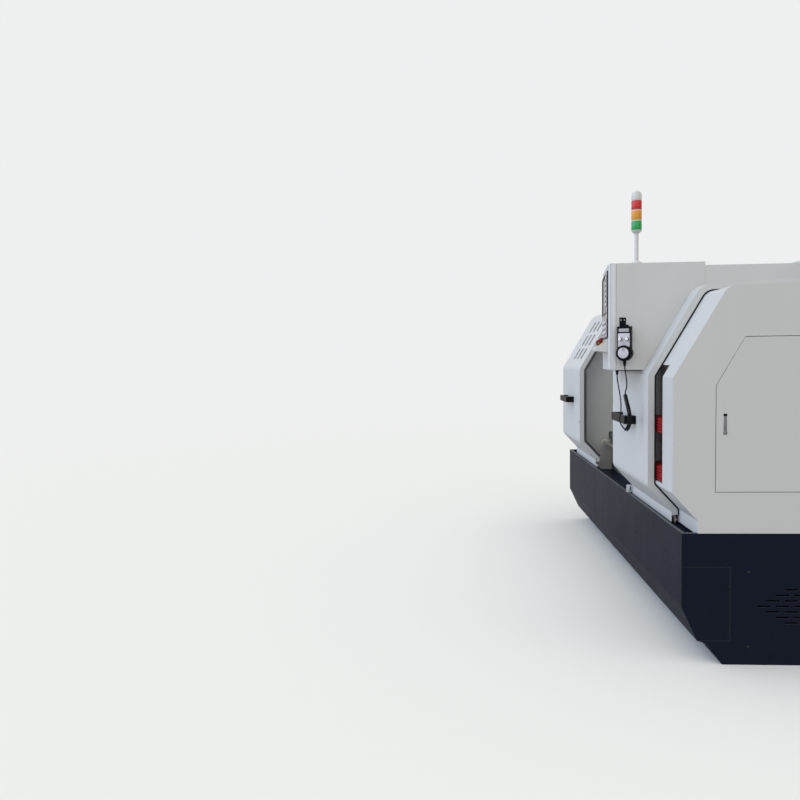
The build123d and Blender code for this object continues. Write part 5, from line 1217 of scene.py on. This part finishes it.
def cabinet_fittings():
    """Models the door's handle and locks, the louvres and the plate behind the switch."""
    grip = [back_plate(1.548, 1.584, 1.090, 1.270, 0.006, 0.0020),
            back_plate(1.556, 1.576, 1.105, 1.215, 0.020, 0.0040), back_rod(HANDLE_X, 1.243, 0, 0.010, 0.011)]
    for z in (0.60, 1.76):
        grip.append(back_rod(HANDLE_X, z, -0.0005, 0.005, 0.015))
        grip.append(back_plate(1.5645, 1.5675, z - 0.010, z + 0.010, 0.008))
    hand_over(grip, "cabinet_handle", "cabinet_door", "black_plastic")
    hand_over([back_plate(x, x + 0.30, 0.560 + row * 0.030, 0.572 + row * 0.030, 0.007, 0.0045, 3)
               for x in (0.33, 1.02) for row in range(6)], "door_louvres", "cabinet_door", "white_coat")
    plate = back_plate(1.366, 1.470, 1.448, 1.552, 0.0016, 0.0006)
    bore_out(plate, spot(SWITCH_X, DOOR_PLANE - 0.004, 1.5), spot(SWITCH_X, DOOR_PLANE + 0.006, 1.5), 0.034)
    hand_over(plate, "switch_plate", "cabinet_door", "yellow_plastic")


def lifting_eyes():
    """Models one eye bolt and sets four of them on the cabinet's corners."""
    foot = rod((0, 0, -0.0005), (0, 0, 0.008), 0.018, 32)
    clear_bench()
    bpy.ops.mesh.primitive_torus_add(major_radius=0.019, minor_radius=0.0048, major_segments=40, minor_segments=12,
                                     location=(0, 0, 0.029), rotation=(0, pi / 2, 0))
    ring = bpy.context.object
    bake_place(ring)
    eye = join([foot, ring])
    round_edges(eye, 0.0010, 2, 50)
    places = [spot(*place) for place in product((0.165, 1.570), (0.80, 1.02), (CABINET_TOP,))]
    hand_over(repeat(eye, places), "lifting_eyes", "machine", "turned_steel")


def conduits():
    """Models three ribbed conduits that leave the cabinet's side and enter the base."""
    pieces = []
    for distance, reach in ((0.800, 0.050), (0.860, 0.060), (0.920, 0.070)):
        x = CABINET_SIDE - reach
        path = [spot(CABINET_SIDE, distance, CONDUIT_TOP), spot(CABINET_SIDE - reach * 0.6, distance, CONDUIT_TOP),
                spot(x, distance, 0.522), spot(x, distance, 0.459)]
        pieces += cups_along(smooth_line(path, 0.0016)[0], 3, 3, 0.0125, 16, 0.0108)
        pieces.append(rod(spot(0.1182, distance, CONDUIT_TOP), spot(0.104, distance, CONDUIT_TOP), 0.017, 6))
        pieces.append(rod(spot(x, distance, 0.4595), spot(x, distance, 0.472), 0.017, 6))
    hand_over(pieces, "conduits", "machine", "black_plastic")


def rear_strips():
    """Models the flat joint strips of the rear wall and the screws that hold them."""
    outlines = [(x - 0.020, x + 0.020, 0.641, 1.715) for x in JOINTS_X] + [(-1.600, 0.100, 0.606, 0.640)]
    strips = [slab(x0, x1, WALL_PLANE - 0.0003, WALL_PLANE + 0.0016, z0, z1) for x0, x1, z0, z1 in outlines]
    hand_over(strips, "rear_strips", "machine", "inner_coat_painted_fill")
    places = list(product(JOINTS_X, (WALL_PLANE + 0.0014,), (0.68, 0.88, 1.08, 1.28, 1.48, 1.68)))
    places += [(-1.56 + 0.16 * n, WALL_PLANE + 0.0014, 0.623) for n in range(10)]
    screws("rear_screws", "machine", places, (0, 1, 0), "turned_steel")


cabinet_fittings()
lifting_eyes()
conduits()
rear_strips()
tell()
